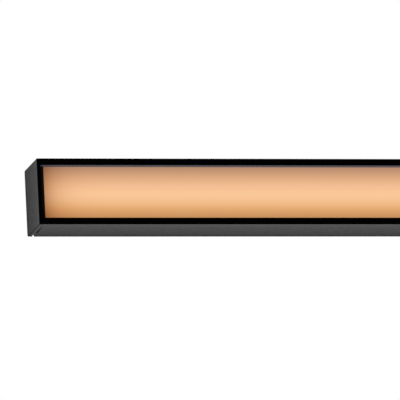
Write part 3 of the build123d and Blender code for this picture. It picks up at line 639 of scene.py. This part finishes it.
@dataclass(frozen=True)
class Moulding(Finish):
    """A moulded plastic or rubber with the fine texture of its mould."""

    colour: Colour
    texture: float = 0.35 * MM
    grains_per_cloud: float = 20.0
    roughness: float = 0.5
    roughness_swing: float = 0.2
    depth: float = 0.02 * MM
    variation: float = 0.24

    def material(self) -> bpy.types.Material:
        """Builds the moulding.

        Returns:
            The material.
        """
        graph = ShaderGraph(self.name)
        texture = graph.noise(self.texture, detail=2.0)
        cloud = graph.noise(self.grains_per_cloud * self.texture, detail=2.0)
        return graph.surface(
            {
                "Base Color": graph.scaled(self.colour, cloud.about(1.0, self.variation)),
                "Roughness": texture.about(self.roughness, self.roughness_swing),
                "Normal": graph.bump(texture, self.depth, strength=0.5),
            }
        )


@dataclass(frozen=True)
class Foam(Finish):
    """Closed-cell foam with its small pores, painted darker in their hollows as shade."""

    colour: Colour = (0.012, 0.012, 0.012)
    # painted shade: the colour's share at the sunken middle of a pore
    painted_pore_shade: float = 0.6
    pore: float = 0.6 * MM
    roughness: float = 0.92
    depth: float = 0.15 * MM

    def material(self) -> bpy.types.Material:
        """Builds the foam.

        Returns:
            The material.
        """
        graph = ShaderGraph(self.name)
        pores = Term(graph, graph.cells(self.pore))
        return graph.surface(
            {
                # painted shade: darker where the bump sinks into each pore
                "Base Color": graph.scaled(self.colour, pores + self.painted_pore_shade),
                "Roughness": self.roughness,
                "Normal": graph.bump(pores, self.depth, strength=0.8),
            }
        )


@dataclass(frozen=True)
class SolderMask(Finish):
    """A circuit board's lacquer, with the tracks under it as slightly raised bands."""

    colour: Colour
    track_colour: Colour
    pitch: float = 4 * MM
    width: float = 0.62
    slope: float = 1 / 14
    cloud: float = 6 * MM
    tone: float = 0.98
    tone_swing: float = 0.12
    roughness: float = 0.3
    roughness_swing: float = 0.12
    depth: float = 0.05 * MM

    def material(self) -> bpy.types.Material:
        """Builds the lacquered board.

        Returns:
            The material.
        """
        graph = ShaderGraph(self.name)
        wave = abs((graph.axis("Z") / self.pitch).math("FRACT") - 0.5) * 2
        track = wave.within(self.width, self.slope)
        cloud = graph.noise(self.cloud, detail=3.0)
        lacquer = graph.blend(track, self.colour, self.track_colour)
        return graph.surface(
            {
                "Base Color": graph.scaled(lacquer, cloud.about(self.tone, self.tone_swing)),
                "Roughness": cloud.about(self.roughness, self.roughness_swing),
                "Normal": graph.bump(track, self.depth, strength=0.6),
            }
        )


@dataclass(frozen=True)
class Phosphor(Finish):
    """The lit yellow fill of an LED package, with its grain."""

    colour: Colour = (0.90, 0.70, 0.20)
    colour_swing: float = 0.3
    glow: Colour = (1.0, 0.66, 0.34)
    glow_swing: float = 0.2
    grain: float = 0.12 * MM
    roughness: float = 0.35
    roughness_swing: float = 0.2

    def material(self) -> bpy.types.Material:
        """Builds the lit fill.

        Returns:
            The material.
        """
        graph = ShaderGraph(self.name)
        grain = graph.noise(self.grain, detail=2.0)
        return graph.surface(
            {
                "Base Color": graph.scaled(self.colour, grain.about(1.0, self.colour_swing)),
                "Roughness": grain.about(self.roughness, self.roughness_swing),
                "Emission Color": graph.scaled(self.glow, grain.about(1.0, self.glow_swing)),
                "Emission Strength": 1.0,
            }
        )


# ------------------------------------------------------------------ mesh work


def ring(radius_x: float, radius_z: float, y: float, count: int, square: float) -> list[Vector]:
    """Points round the Y axis, from a circle to a rounded square.

    Args:
        radius_x: the reach along X.
        radius_z: the reach along Z.
        y: where the ring lies.
        count: how many points it has.
        square: ROUND, SQUARE or a share between them.

    Returns:
        The points, in order.
    """
    points = []
    for i in range(count):
        angle = 2 * math.pi * (i + 0.5) / count
        c, s = math.cos(angle), math.sin(angle)
        swell = (1 - square) + square / max(abs(c), abs(s))
        points.append(Vector((radius_x * c * swell, y, radius_z * s * swell)))
    return points


def skin(name: str, rings: list[list[Vector]]) -> bpy.types.Object:
    """A closed skin over rings, with a flat cap on the first and the last.

    Args:
        name: the object's name.
        rings: rings of points, each as long as the first.

    Returns:
        The new object, whose faces point outwards.
    """
    shape = bmesh.new()
    rows = [[shape.verts.new(point) for point in points] for points in rings]
    for before, after in zip(rows, rows[1:]):
        for i in range(len(before)):
            j = (i + 1) % len(before)
            shape.faces.new((before[i], before[j], after[j], after[i]))
    shape.faces.new(list(reversed(rows[0])))
    shape.faces.new(rows[-1])
    bmesh.ops.recalc_face_normals(shape, faces=shape.faces)
    mesh = bpy.data.meshes.new(name)
    shape.to_mesh(mesh)
    shape.free()
    piece = bpy.data.objects.new(name, mesh)
    bpy.context.scene.collection.objects.link(piece)
    return piece


@dataclass(frozen=True)
class Bevel:
    """The bevelled top of a block, as shares of the block's own height, length and width."""

    start: float
    along: float
    across: float


def bevelled_block(name: str, half_x: float, half_z: float, high: float, bevel: Bevel) -> bpy.types.Object:
    """A small block that stands on a board, with its back at Y = 0.

    Args:
        name: the object's name.
        half_x: half its length.
        half_z: half its width.
        high: its height off the board.
        bevel: the shape of its top.

    Returns:
        The block.
    """
    rings = [
        ring(half_x, half_z, 0.0, BLOCK_POINTS, SQUARE),
        ring(half_x, half_z, -high * bevel.start, BLOCK_POINTS, SQUARE),
        ring(half_x * bevel.along, half_z * bevel.across, -high, BLOCK_POINTS, SQUARE),
    ]
    return skin(name, rings)


def dress(finish: bpy.types.Material, *nodes: str) -> None:
    """Gives nodes of the frame a material.

    Args:
        finish: the material.
        nodes: the nodes' names.
    """
    for name in nodes:
        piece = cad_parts[name]
        for slot in piece.material_slots:
            slot.material = finish
        LOG.info("dressed %s in %s", name, finish.name)


@dataclass(frozen=True)
class StripLayout:
    """Where the LED packages lie, measured on the frame's plain chips."""

    count: int
    pitch: float
    strip_spacing: float
    row_spacing: float
    board_y: float
    chip_depth: float
    chip_width: float

    @classmethod
    def measured(cls) -> "StripLayout":
        """Reads the layout from the frame.

        Returns:
            The layout.
        """
        low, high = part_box("led_chips_upper_right")
        far_low, far_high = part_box("led_chips_upper_left")
        under_low, under_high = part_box("led_chips_lower_right")
        width = high.z - low.z
        islands = count_islands(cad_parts["led_chips_upper_right"])
        return cls(
            count=islands,
            pitch=(high.x - low.x - width) / (islands - 1),
            strip_spacing=(low.x + high.x - far_low.x - far_high.x) / 2,
            row_spacing=(low.z + high.z - under_low.z - under_high.z) / 2,
            board_y=high.y,
            chip_depth=high.y - low.y,
            chip_width=width,
        )


def count_islands(piece: bpy.types.Object, gap: float = 5 * MM) -> int:
    """Counts the separate solids of a node by their places along X.

    Args:
        piece: a node whose solids lie apart along X.
        gap: the least room between two solids, wider than any step inside one.

    Returns:
        How many there are.
    """
    stations = sorted(vertex.co.x for vertex in piece.data.vertices)
    return 1 + sum(after - before > gap for before, after in zip(stations, stations[1:]))


class RepeatOnStrips:
    """A Geometry Nodes tree that sets one piece at every station of the four LED strips."""

    def __init__(self, layout: StripLayout) -> None:
        """Keeps the layout.

        Args:
            layout: where the packages lie.
        """
        self.layout = layout

    def _tree(self, finish: bpy.types.Material) -> bpy.types.GeometryNodeTree:
        """Builds the tree.

        Args:
            finish: the material that it sets.

        Returns:
            The tree, with named inputs for its sizes.
        """
        tree = bpy.data.node_groups.new("pieces_on_strips", "GeometryNodeTree")
        sockets = (
            ("Geometry", "NodeSocketGeometry"),
            ("Piece", "NodeSocketObject"),
            ("Count", "NodeSocketInt"),
            ("Pitch", "NodeSocketFloat"),
            ("First station", "NodeSocketVector"),
            ("Strip spacing", "NodeSocketFloat"),
            ("Row spacing", "NodeSocketFloat"),
            ("Board", "NodeSocketVector"),
        )
        for name, kind in sockets:
            tree.interface.new_socket(name=name, in_out="INPUT", socket_type=kind)
        tree.interface.new_socket(name="Geometry", in_out="OUTPUT", socket_type="NodeSocketGeometry")
        graph = NodeGraph(tree)
        given = graph.node("NodeGroupInput", {}, {}).outputs
        step = graph.node("ShaderNodeCombineXYZ", {}, {"X": given["Pitch"]}).outputs[0]
        stations = graph.node(
            "GeometryNodeMeshLine",
            {"mode": "OFFSET"},
            {"Count": given["Count"], "Start Location": given["First station"], "Offset": step},
        ).outputs[0]
        piece = graph.node("GeometryNodeObjectInfo", {}, {"Object": given["Piece"]}).outputs["Geometry"]
        one_strip = graph.node(
            "GeometryNodeInstanceOnPoints", {}, {"Points": stations, "Instance": piece}
        ).outputs[0]
        corners = graph.node(
            "GeometryNodeMeshGrid",
            {},
            {
                "Size X": given["Strip spacing"],
                "Size Y": given["Row spacing"],
                "Vertices X": 2,
                "Vertices Y": 2,
            },
        ).outputs[0]
        upright = graph.node(
            "GeometryNodeTransform",
            {},
            {"Geometry": corners, "Translation": given["Board"], "Rotation": (math.pi / 2, 0.0, 0.0)},
        ).outputs[0]
        all_strips = graph.node(
            "GeometryNodeInstanceOnPoints", {}, {"Points": upright, "Instance": one_strip}
        ).outputs[0]
        real = graph.node("GeometryNodeRealizeInstances", {}, {"Geometry": all_strips}).outputs[0]
        shown = graph.node("GeometryNodeSetMaterial", {}, {"Geometry": real, "Material": finish}).outputs[0]
        graph.node("NodeGroupOutput", {}, {"Geometry": shown})
        return tree

    def made(
        self,
        name: str,
        piece: bpy.types.Object,
        finish: bpy.types.Material,
        every: int = 1,
        shift: float = 0.0,
    ) -> bpy.types.Object:
        """Sets a piece on the strips and bakes the result into one plain mesh.

        Args:
            name: the result's name.
            piece: what to repeat, centred on its station. It is removed afterwards.
            finish: the result's material.
            every: 1 for a piece at each LED, 2 at every second one, and so on.
            shift: how far the piece lies along X from its LED.

        Returns:
            The baked object.
        """
        layout = self.layout
        tree = self._tree(finish)
        carrier = bpy.data.objects.new(f"{name}_carrier", bpy.data.meshes.new(f"{name}_carrier"))
        bpy.context.scene.collection.objects.link(carrier)
        modifier = carrier.modifiers.new("pieces_on_strips", "NODES")
        modifier.node_group = tree
        first = -layout.pitch * (layout.count - 1) / 2 + shift
        values = {
            "Piece": piece,
            "Count": layout.count // every,
            "Pitch": layout.pitch * every,
            "First station": (first, 0.0, 0.0),
            "Strip spacing": layout.strip_spacing,
            "Row spacing": layout.row_spacing,
            "Board": (0.0, layout.board_y, 0.0),
        }
        for socket in tree.interface.items_tree:
            if socket.in_out == "INPUT" and socket.name in values:
                modifier[socket.identifier] = values[socket.name]
        bpy.context.view_layer.update()
        evaluated = carrier.evaluated_get(bpy.context.evaluated_depsgraph_get())
        mesh = bpy.data.meshes.new_from_object(evaluated)
        mesh.name = name
        for spare in (carrier, piece):
            bpy.data.objects.remove(spare)
        result = bpy.data.objects.new(name, mesh)
        bpy.context.scene.collection.objects.link(result)
        LOG.info("set %s on the strips: %d faces", name, len(mesh.polygons))
        return result


# ------------------------------------------------------------------ sub-assemblies


@dataclass
class CoverFrame:
    """The black frame: two rails, two end caps, two end plugs and their fasteners."""

    # how deep the front painted shade reaches on the rails and on the end caps
    rail_front_shade_depth: float = 0.4 * MM
    cap_front_shade_depth: float = 1.3 * MM
    edge_margin: float = 0.25 * MM
    plug_finish: CastBlack = CastBlack("plug_matt_black")
    screw_finish: DrawnMetal = DrawnMetal("black_oxide", colour=(0.035, 0.034, 0.033), roughness=0.45)
    plate_finish: DrawnMetal = zinc_plating("zinc_plate")

    def build(self) -> None:
        """Dresses the frame's nodes."""
        rail_coat_and_shade = self._coat("rail_coat_and_shade", "top_rail", self.rail_front_shade_depth)
        dress(rail_coat_and_shade.material(), "top_rail", "bottom_rail")
        cap_coat_and_shade = self._coat("cap_coat_and_shade", "end_cap_right", self.cap_front_shade_depth)
        dress(cap_coat_and_shade.material(), "end_cap_left", "end_cap_right")
        dress(self.plug_finish.material(), "end_plug_left", "end_plug_right")
        plate = self.plate_finish.material()
        black = self.screw_finish.material()
        for side in Side:
            end = side.name.lower()
            dress(black, f"clamp_screw_{end}", f"plug_screws_{end}")
            dress(plate, f"clamp_nut_{end}", f"cap_screws_{end}")

    def _coat(self, name: str, node: str, edge: float) -> PowderCoatWithPaintedShade:
        """The powder coat of a piece, with its painted shade and light, fitted to its box.

        Args:
            name: the material's name.
            node: the piece.
            edge: how far its front painted shade, the blackest part, reaches back, in metres.

        Returns:
            The finish.
        """
        low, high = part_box(node)
        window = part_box("top_rail")[0].z + self.edge_margin
        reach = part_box("end_plug_right")[1].x - self.edge_margin
        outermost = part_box("end_cap_right")[1]
        return PowderCoatWithPaintedShade(
            name,
            front=low.y,
            back=high.y,
            front_shade_depth=edge,
            lip_height=window,
            lip_reach=reach,
            corner=(outermost.x, outermost.z),
        )


@dataclass
class LightWindow:
    """The opal sheet and the foam strips behind it."""

    foam: Foam = Foam("black_foam")

    def build(self) -> None:
        """Dresses the sheet by its own length, and the foam."""
        low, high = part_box("diffuser")
        glow = OpalGlow("opal_glow", half_length=high.x, half_height=high.z)
        dress(glow.material(), "diffuser")
        dress(self.foam.material(), "gasket_upper", "gasket_lower")


@dataclass
class WallPan:
    """The galvanised pan with its ears and its rubber bush."""

    sheet: GalvanisedSheet = GalvanisedSheet("galvanised_sheet")
    rubber: Moulding = Moulding("black_rubber", colour=(0.02, 0.02, 0.02), roughness=0.7, depth=0.04 * MM)

    def build(self) -> None:
        """Dresses the pan's nodes."""
        dress(self.sheet.material(), "back_pan", "clamp_ear_left", "clamp_ear_right")
        dress(self.rubber.material(), "cable_grommet", "lead_bush", "driver_bushes")


@dataclass
class LedTray:
    """The tray, its reflectors and its four LED strips."""

    ring_points: int = 24
    body_bevel: Bevel = Bevel(start=0.92, along=0.96, across=0.96)
    cup_share: float = 0.80
    cup_depth: float = 0.30
    cup_taper: float = 0.85
    fill_foot: float = 0.84
    fill_gap: float = 0.01 * MM
    fill_dome: tuple[tuple[float, float], ...] = ((0.97, 0.93), (0.70, 0.965), (0.30, 0.985))
    terminal_length: float = 0.5 * MM
    terminal_width_share: float = 0.7
    terminal_height_share: float = 0.35
    resistor_length: float = 2.0 * MM
    resistor_width: float = 1.25 * MM
    resistor_height: float = 0.5 * MM
    resistor_bevel: Bevel = Bevel(start=0.85, along=0.94, across=0.92)
    solder_reach: float = 0.25 * MM
    solder_half_length: float = 0.4 * MM
    solder_width_share: float = 1.05
    solder_height_share: float = 0.9
    solder_bevel: Bevel = Bevel(start=0.8, along=0.8, across=0.9)
    leds_per_resistor: int = 3

    def build(self) -> None:
        """Dresses the tray and makes what stands on its strips."""
        lined = DrawnMetal("mill_aluminium", colour=(0.80, 0.81, 0.82), roughness=0.30).material()
        white = Paint("reflector_white", colour=(0.90, 0.90, 0.88)).material()
        plate = zinc_plating("tray_screw_zinc").material()
        board = SolderMask("white_board", colour=(0.80, 0.80, 0.78), track_colour=(0.88, 0.88, 0.86))
        mask = board.material()
        nylon = Moulding("white_nylon", colour=(0.85, 0.84, 0.79), roughness=0.45).material()
        dress(lined, "led_tray")
        dress(white, "reflector_upper", "reflector_lower", "end_reflector_left", "end_reflector_right")
        dress(plate, "tray_screws", "strip_screws")
        dress(nylon, "strip_connectors")
        for side in Side:
            for row in Row:
                dress(mask, f"led_strip_{row.name.lower()}_{side.name.lower()}")
        self._packages(StripLayout.measured())

    def _packages(self, layout: StripLayout) -> None:
        """Makes the LED packages with their fill and terminals, and the resistors between them.

        Args:
            layout: where the packages lie.
        """
        repeat = RepeatOnStrips(layout)
        white = Moulding("package_white", colour=(0.86, 0.86, 0.84), texture=0.1 * MM, roughness=0.4)
        body = white.material()
        fill = Phosphor("package_fill").material()
        tin = DrawnMetal("tinned_copper", colour=(0.70, 0.70, 0.68), line=0.2 * MM, length=2.0).material()
        ceramic = Moulding("resistor_black", colour=(0.015, 0.015, 0.018), roughness=0.3).material()
        spacing = {"every": self.leds_per_resistor, "shift": layout.pitch / 4}
        pieces = (
            repeat.made("led_packages", self._package_body(layout), body),
            repeat.made("led_fills", self._package_fill(layout), fill),
            repeat.made("led_terminals", self._terminals(layout), tin),
            repeat.made("strip_resistors", self._resistor(), ceramic, **spacing),
            repeat.made("resistor_ends", self._resistor_ends(), tin, **spacing),
        )
        slots = ("led_package", "led_package", "zinc_screw", "capacitor_sleeve", "zinc_screw")
        for piece, slot in zip(pieces, slots):
            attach(piece, "wall_pan")
        chips = [f"led_chips_{row.name.lower()}_{side.name.lower()}" for side in Side for row in Row]
        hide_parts(*chips)

    def _package_body(self, layout: StripLayout) -> bpy.types.Object:
        """One package's white body, with its round cup.

        Args:
            layout: gives the package's size.

        Returns:
            The body, with its back on the board.
        """
        half, deep = layout.chip_width / 2, layout.chip_depth
        body_half = half - self.terminal_length / 2
        cup = half * self.cup_share
        floor = cup * self.cup_taper
        bevel, count = self.body_bevel, self.ring_points
        return skin(
            "package_body",
            [
                ring(body_half, half, 0.0, count, SQUARE),
                ring(body_half, half, -deep * bevel.start, count, SQUARE),
                ring(body_half * bevel.along, half * bevel.across, -deep, count, SQUARE),
                ring(cup, cup, -deep, count, ROUND),
                ring(floor, floor, -deep * (1 - self.cup_depth), count, ROUND),
            ],
        )

    def _package_fill(self, layout: StripLayout) -> bpy.types.Object:
        """The slightly domed fill of one package's cup.

        Args:
            layout: gives the package's size.

        Returns:
            The fill.
        """
        cup, deep = layout.chip_width / 2 * self.cup_share, layout.chip_depth
        foot = -deep * (1 - self.cup_depth) - self.fill_gap
        tiers = [(self.fill_foot, foot)] + [(share, -deep * height) for share, height in self.fill_dome]
        rings = [ring(cup * share, cup * share, y, self.ring_points, ROUND) for share, y in tiers]
        return skin("package_fill", rings)

    def _terminals(self, layout: StripLayout) -> bpy.types.Object:
        """The two metal tabs at the ends of one package, on their solder.

        Args:
            layout: gives the package's size.

        Returns:
            Both tabs as one object.
        """
        half = layout.chip_width / 2
        return self._pair(
            "package_terminals",
            reach=half,
            half_x=self.terminal_length / 2,
            half_z=half * self.terminal_width_share,
            high=layout.chip_depth * self.terminal_height_share,
        )

    def _resistor(self) -> bpy.types.Object:
        """One chip resistor's ceramic body.

        Returns:
            The body, with its back on the board.
        """
        half_x, half_z = self.resistor_length / 2, self.resistor_width / 2
        return bevelled_block("resistor_body", half_x, half_z, self.resistor_height, self.resistor_bevel)

    def _resistor_ends(self) -> bpy.types.Object:
        """The tinned ends and solder of one chip resistor.

        Returns:
            Both ends as one object.
        """
        return self._pair(
            "resistor_ends",
            reach=self.resistor_length / 2 + self.solder_reach,
            half_x=self.solder_half_length,
            half_z=self.resistor_width / 2 * self.solder_width_share,
            high=self.resistor_height * self.solder_height_share,
        )

    def _pair(self, name: str, reach: float, half_x: float, half_z: float, high: float) -> bpy.types.Object:
        """Two small bevelled blocks, mirrored about X.

        Args:
            name: the object's name.
            reach: how far the blocks reach along X.
            half_x: half a block's length.
            half_z: half a block's width.
            high: a block's height off the board.

        Returns:
            Both blocks as one object.
        """
        block = bevelled_block(name, half_x, half_z, high, self.solder_bevel)
        shape = bmesh.new()
        shape.from_mesh(block.data)
        twin = bmesh.ops.duplicate(shape, geom=list(shape.verts) + list(shape.edges) + list(shape.faces))
        first = [v for v in shape.verts if v not in twin["geom"]]
        moved = [v for v in twin["geom"] if isinstance(v, bmesh.types.BMVert)]
        bmesh.ops.translate(shape, verts=first, vec=(half_x - reach, 0, 0))
        bmesh.ops.translate(shape, verts=moved, vec=(reach - half_x, 0, 0))
        shape.to_mesh(block.data)
        shape.free()
        return block


@dataclass
class Driver:
    """The driver: its painted case, its board and what stands on it."""

    board: SolderMask = SolderMask("green_board", (0.012, 0.10, 0.035), (0.02, 0.17, 0.06), pitch=3 * MM)
    finishes: tuple[tuple[Finish, tuple[str, ...]], ...] = (
        (Paint("driver_paint", colour=(0.78, 0.78, 0.76)), ("driver_case", "driver_cover")),
        (Moulding("ferrite_core", colour=(0.04, 0.04, 0.045), roughness=0.55), ("driver_transformer",)),
        (Moulding("yellow_tape", colour=(0.80, 0.60, 0.06), roughness=0.25), ("driver_winding",)),
        (Moulding("blue_sleeve", colour=(0.02, 0.03, 0.09), roughness=0.22), ("driver_capacitors",)),
        (zinc_plating("driver_screw_zinc"), ("driver_screws",)),
    )

    def build(self) -> None:
        """Dresses the driver's nodes."""
        dress(self.board.material(), "driver_board")
        for finish, nodes in self.finishes:
            dress(finish.material(), *nodes)


@dataclass
class Wiring:
    """The terminal block with its levers, the earth screw and the leads."""

    poles: tuple[str, ...] = ("live", "neutral", "earth")
    housing: Moulding = Moulding("grey_housing", colour=(0.42, 0.43, 0.44), roughness=0.48)
    lever: Moulding = Moulding("lever_orange", colour=(0.80, 0.22, 0.02), roughness=0.34)
    lug: DrawnMetal = fine_plating("lug_tin")
    earth_screw: DrawnMetal = fine_plating("green_zinc", (0.05, 0.34, 0.10))
    lead_colours: tuple[tuple[str, Colour, tuple[str, ...]], ...] = (
        ("insulation_black", (0.012, 0.012, 0.012), ("live_lead", "output_lead_lower")),
        ("insulation_white", (0.80, 0.80, 0.78), ("neutral_lead",)),
        ("insulation_green", (0.02, 0.26, 0.06), ("earth_lead",)),
        ("insulation_red", (0.50, 0.015, 0.015), ("output_lead_upper",)),
    )

    def build(self) -> None:
        """Dresses the wiring's nodes."""
        dress(self.housing.material(), "terminal_block")
        dress(self.lever.material(), *(f"terminal_lever_{pole}" for pole in self.poles))
        dress(self.lug.material(), "earth_lug")
        dress(self.earth_screw.material(), "earth_screw")
        for name, colour, leads in self.lead_colours:
            dress(Moulding(name, colour=colour, roughness=0.32, depth=0.01 * MM).material(), *leads)


# ------------------------------------------------------------------ the set


@dataclass
class Studio:
    """A long lens from below left, a white backdrop, soft light and a pale floor far below."""

    azimuth: float = -13.74
    elevation: float = -12.05
    roll: float = -2.88
    lens: float = 720.0
    distance: float = 13.56
    aim: tuple[float, float, float] = (-0.1767, -0.101, -0.0149)
    floor_height: float = -21.0
    floor_half: float = 70.0
    floor_colour: Colour = (0.88, 0.88, 0.88)
    floor_roughness: float = 0.9
    floor_glow: float = 0.35
    sight: float = 100.0
    front_radiance: float = 0.04
    back_radiance: float = 0.84
    twilight: float = 0.35

    def build(self) -> None:
        """Sets up the camera, the world, the lights and the floor."""
        self._camera()
        self._world()
        self._floor()
        self._sun("key_light", azimuth=-60, elevation=50, energy=0.53, angle=50)
        self._sun("low_light", azimuth=-120, elevation=-35, energy=0.35, angle=60)
        bpy.context.scene.view_settings.view_transform = "Standard"

    @staticmethod
    def _outward(azimuth: float, elevation: float) -> Vector:
        """The direction from the bar towards a place round it.

        Args:
            azimuth: 0 in front of the bar, 90 at its right end, in degrees.
            elevation: above the horizon, in degrees.

        Returns:
            The unit direction.
        """
        a, e = math.radians(azimuth), math.radians(elevation)
        return Vector((math.sin(a) * math.cos(e), -math.cos(a) * math.cos(e), math.sin(e)))

    def _camera(self) -> None:
        """Makes the camera."""
        data = bpy.data.cameras.new("camera")
        data.lens = self.lens
        data.clip_end = self.sight
        camera = bpy.data.objects.new("camera", data)
        bpy.context.scene.collection.objects.link(camera)
        back = self._outward(self.azimuth, self.elevation)
        look = (-back).to_track_quat("-Z", "Y").to_matrix().to_4x4()
        roll = Matrix.Rotation(math.radians(self.roll), 4, "Z")
        camera.matrix_world = Matrix.Translation(Vector(self.aim) + back * self.distance) @ look @ roll
        bpy.context.scene.camera = camera

    def _world(self) -> None:
        """Makes the world: plain white to look at, and dim in front of the bar as a source of light."""
        world = bpy.data.worlds.new("studio")
        world.use_nodes = True
        bpy.context.scene.world = world
        graph = NodeGraph(world.node_tree)
        graph.tree.nodes.clear()
        direction = graph.node("ShaderNodeTexCoord", {}, {}).outputs["Generated"]
        y = graph.node("ShaderNodeSeparateXYZ", {}, {0: direction}).outputs["Y"]
        limits = {
            "Value": y,
            "From Min": -self.twilight,
            "From Max": self.twilight,
            "To Min": self.front_radiance,
            "To Max": self.back_radiance,
        }
        level = graph.node("ShaderNodeMapRange", {"interpolation_type": "SMOOTHSTEP"}, limits).outputs[0]
        light = graph.node("ShaderNodeBackground", {}, {"Color": (1, 1, 1, 1), "Strength": level}).outputs[0]
        white = graph.node("ShaderNodeBackground", {}, {"Color": (1, 1, 1, 1), "Strength": 1.0}).outputs[0]
        seen = graph.node("ShaderNodeLightPath", {}, {}).outputs["Is Camera Ray"]
        both = graph.node("ShaderNodeMixShader", {}, {0: seen, 1: light, 2: white}).outputs[0]
        graph.node("ShaderNodeOutputWorld", {}, {"Surface": both})

    def _floor(self) -> None:
        """Makes the pale floor."""
        half = self.floor_half
        mesh = bpy.data.meshes.new("floor")
        corners = [(-half, -half), (half, -half), (half, half), (-half, half)]
        mesh.from_pydata([(x, y, self.floor_height) for x, y in corners], [], [(0, 1, 2, 3)])
        floor = bpy.data.objects.new("floor", mesh)
        bpy.context.scene.collection.objects.link(floor)
        graph = ShaderGraph("pale_floor")
        mesh.materials.append(
            graph.surface(
                {
                    "Base Color": (*self.floor_colour, 1.0),
                    "Roughness": self.floor_roughness,
                    "Emission Color": (1.0, 1.0, 1.0, 1.0),
                    "Emission Strength": self.floor_glow,
                }
            )
        )

    def _sun(self, name: str, azimuth: float, elevation: float, energy: float, angle: float) -> None:
        """Makes a soft distant light.

        Args:
            name: the light's name.
            azimuth: where it stands round the bar, in degrees.
            elevation: how high it stands, in degrees.
            energy: its strength.
            angle: its width, in degrees.
        """
        data = bpy.data.lights.new(name, "SUN")
        data.energy = energy
        data.angle = math.radians(angle)
        lamp = bpy.data.objects.new(name, data)
        bpy.context.scene.collection.objects.link(lamp)
        lamp.rotation_euler = (-self._outward(azimuth, elevation)).to_track_quat("-Z", "Y").to_euler()


def main() -> None:
    """Builds every sub-assembly, then the set round them."""
    logging.basicConfig(level=logging.INFO, format="%(name)s: %(message)s")
    for part in (CoverFrame(), LightWindow(), WallPan(), LedTray(), Driver(), Wiring(), Studio()):
        part.build()
        LOG.info("built %s", type(part).__name__)


if __name__ == "__main__":
    main()
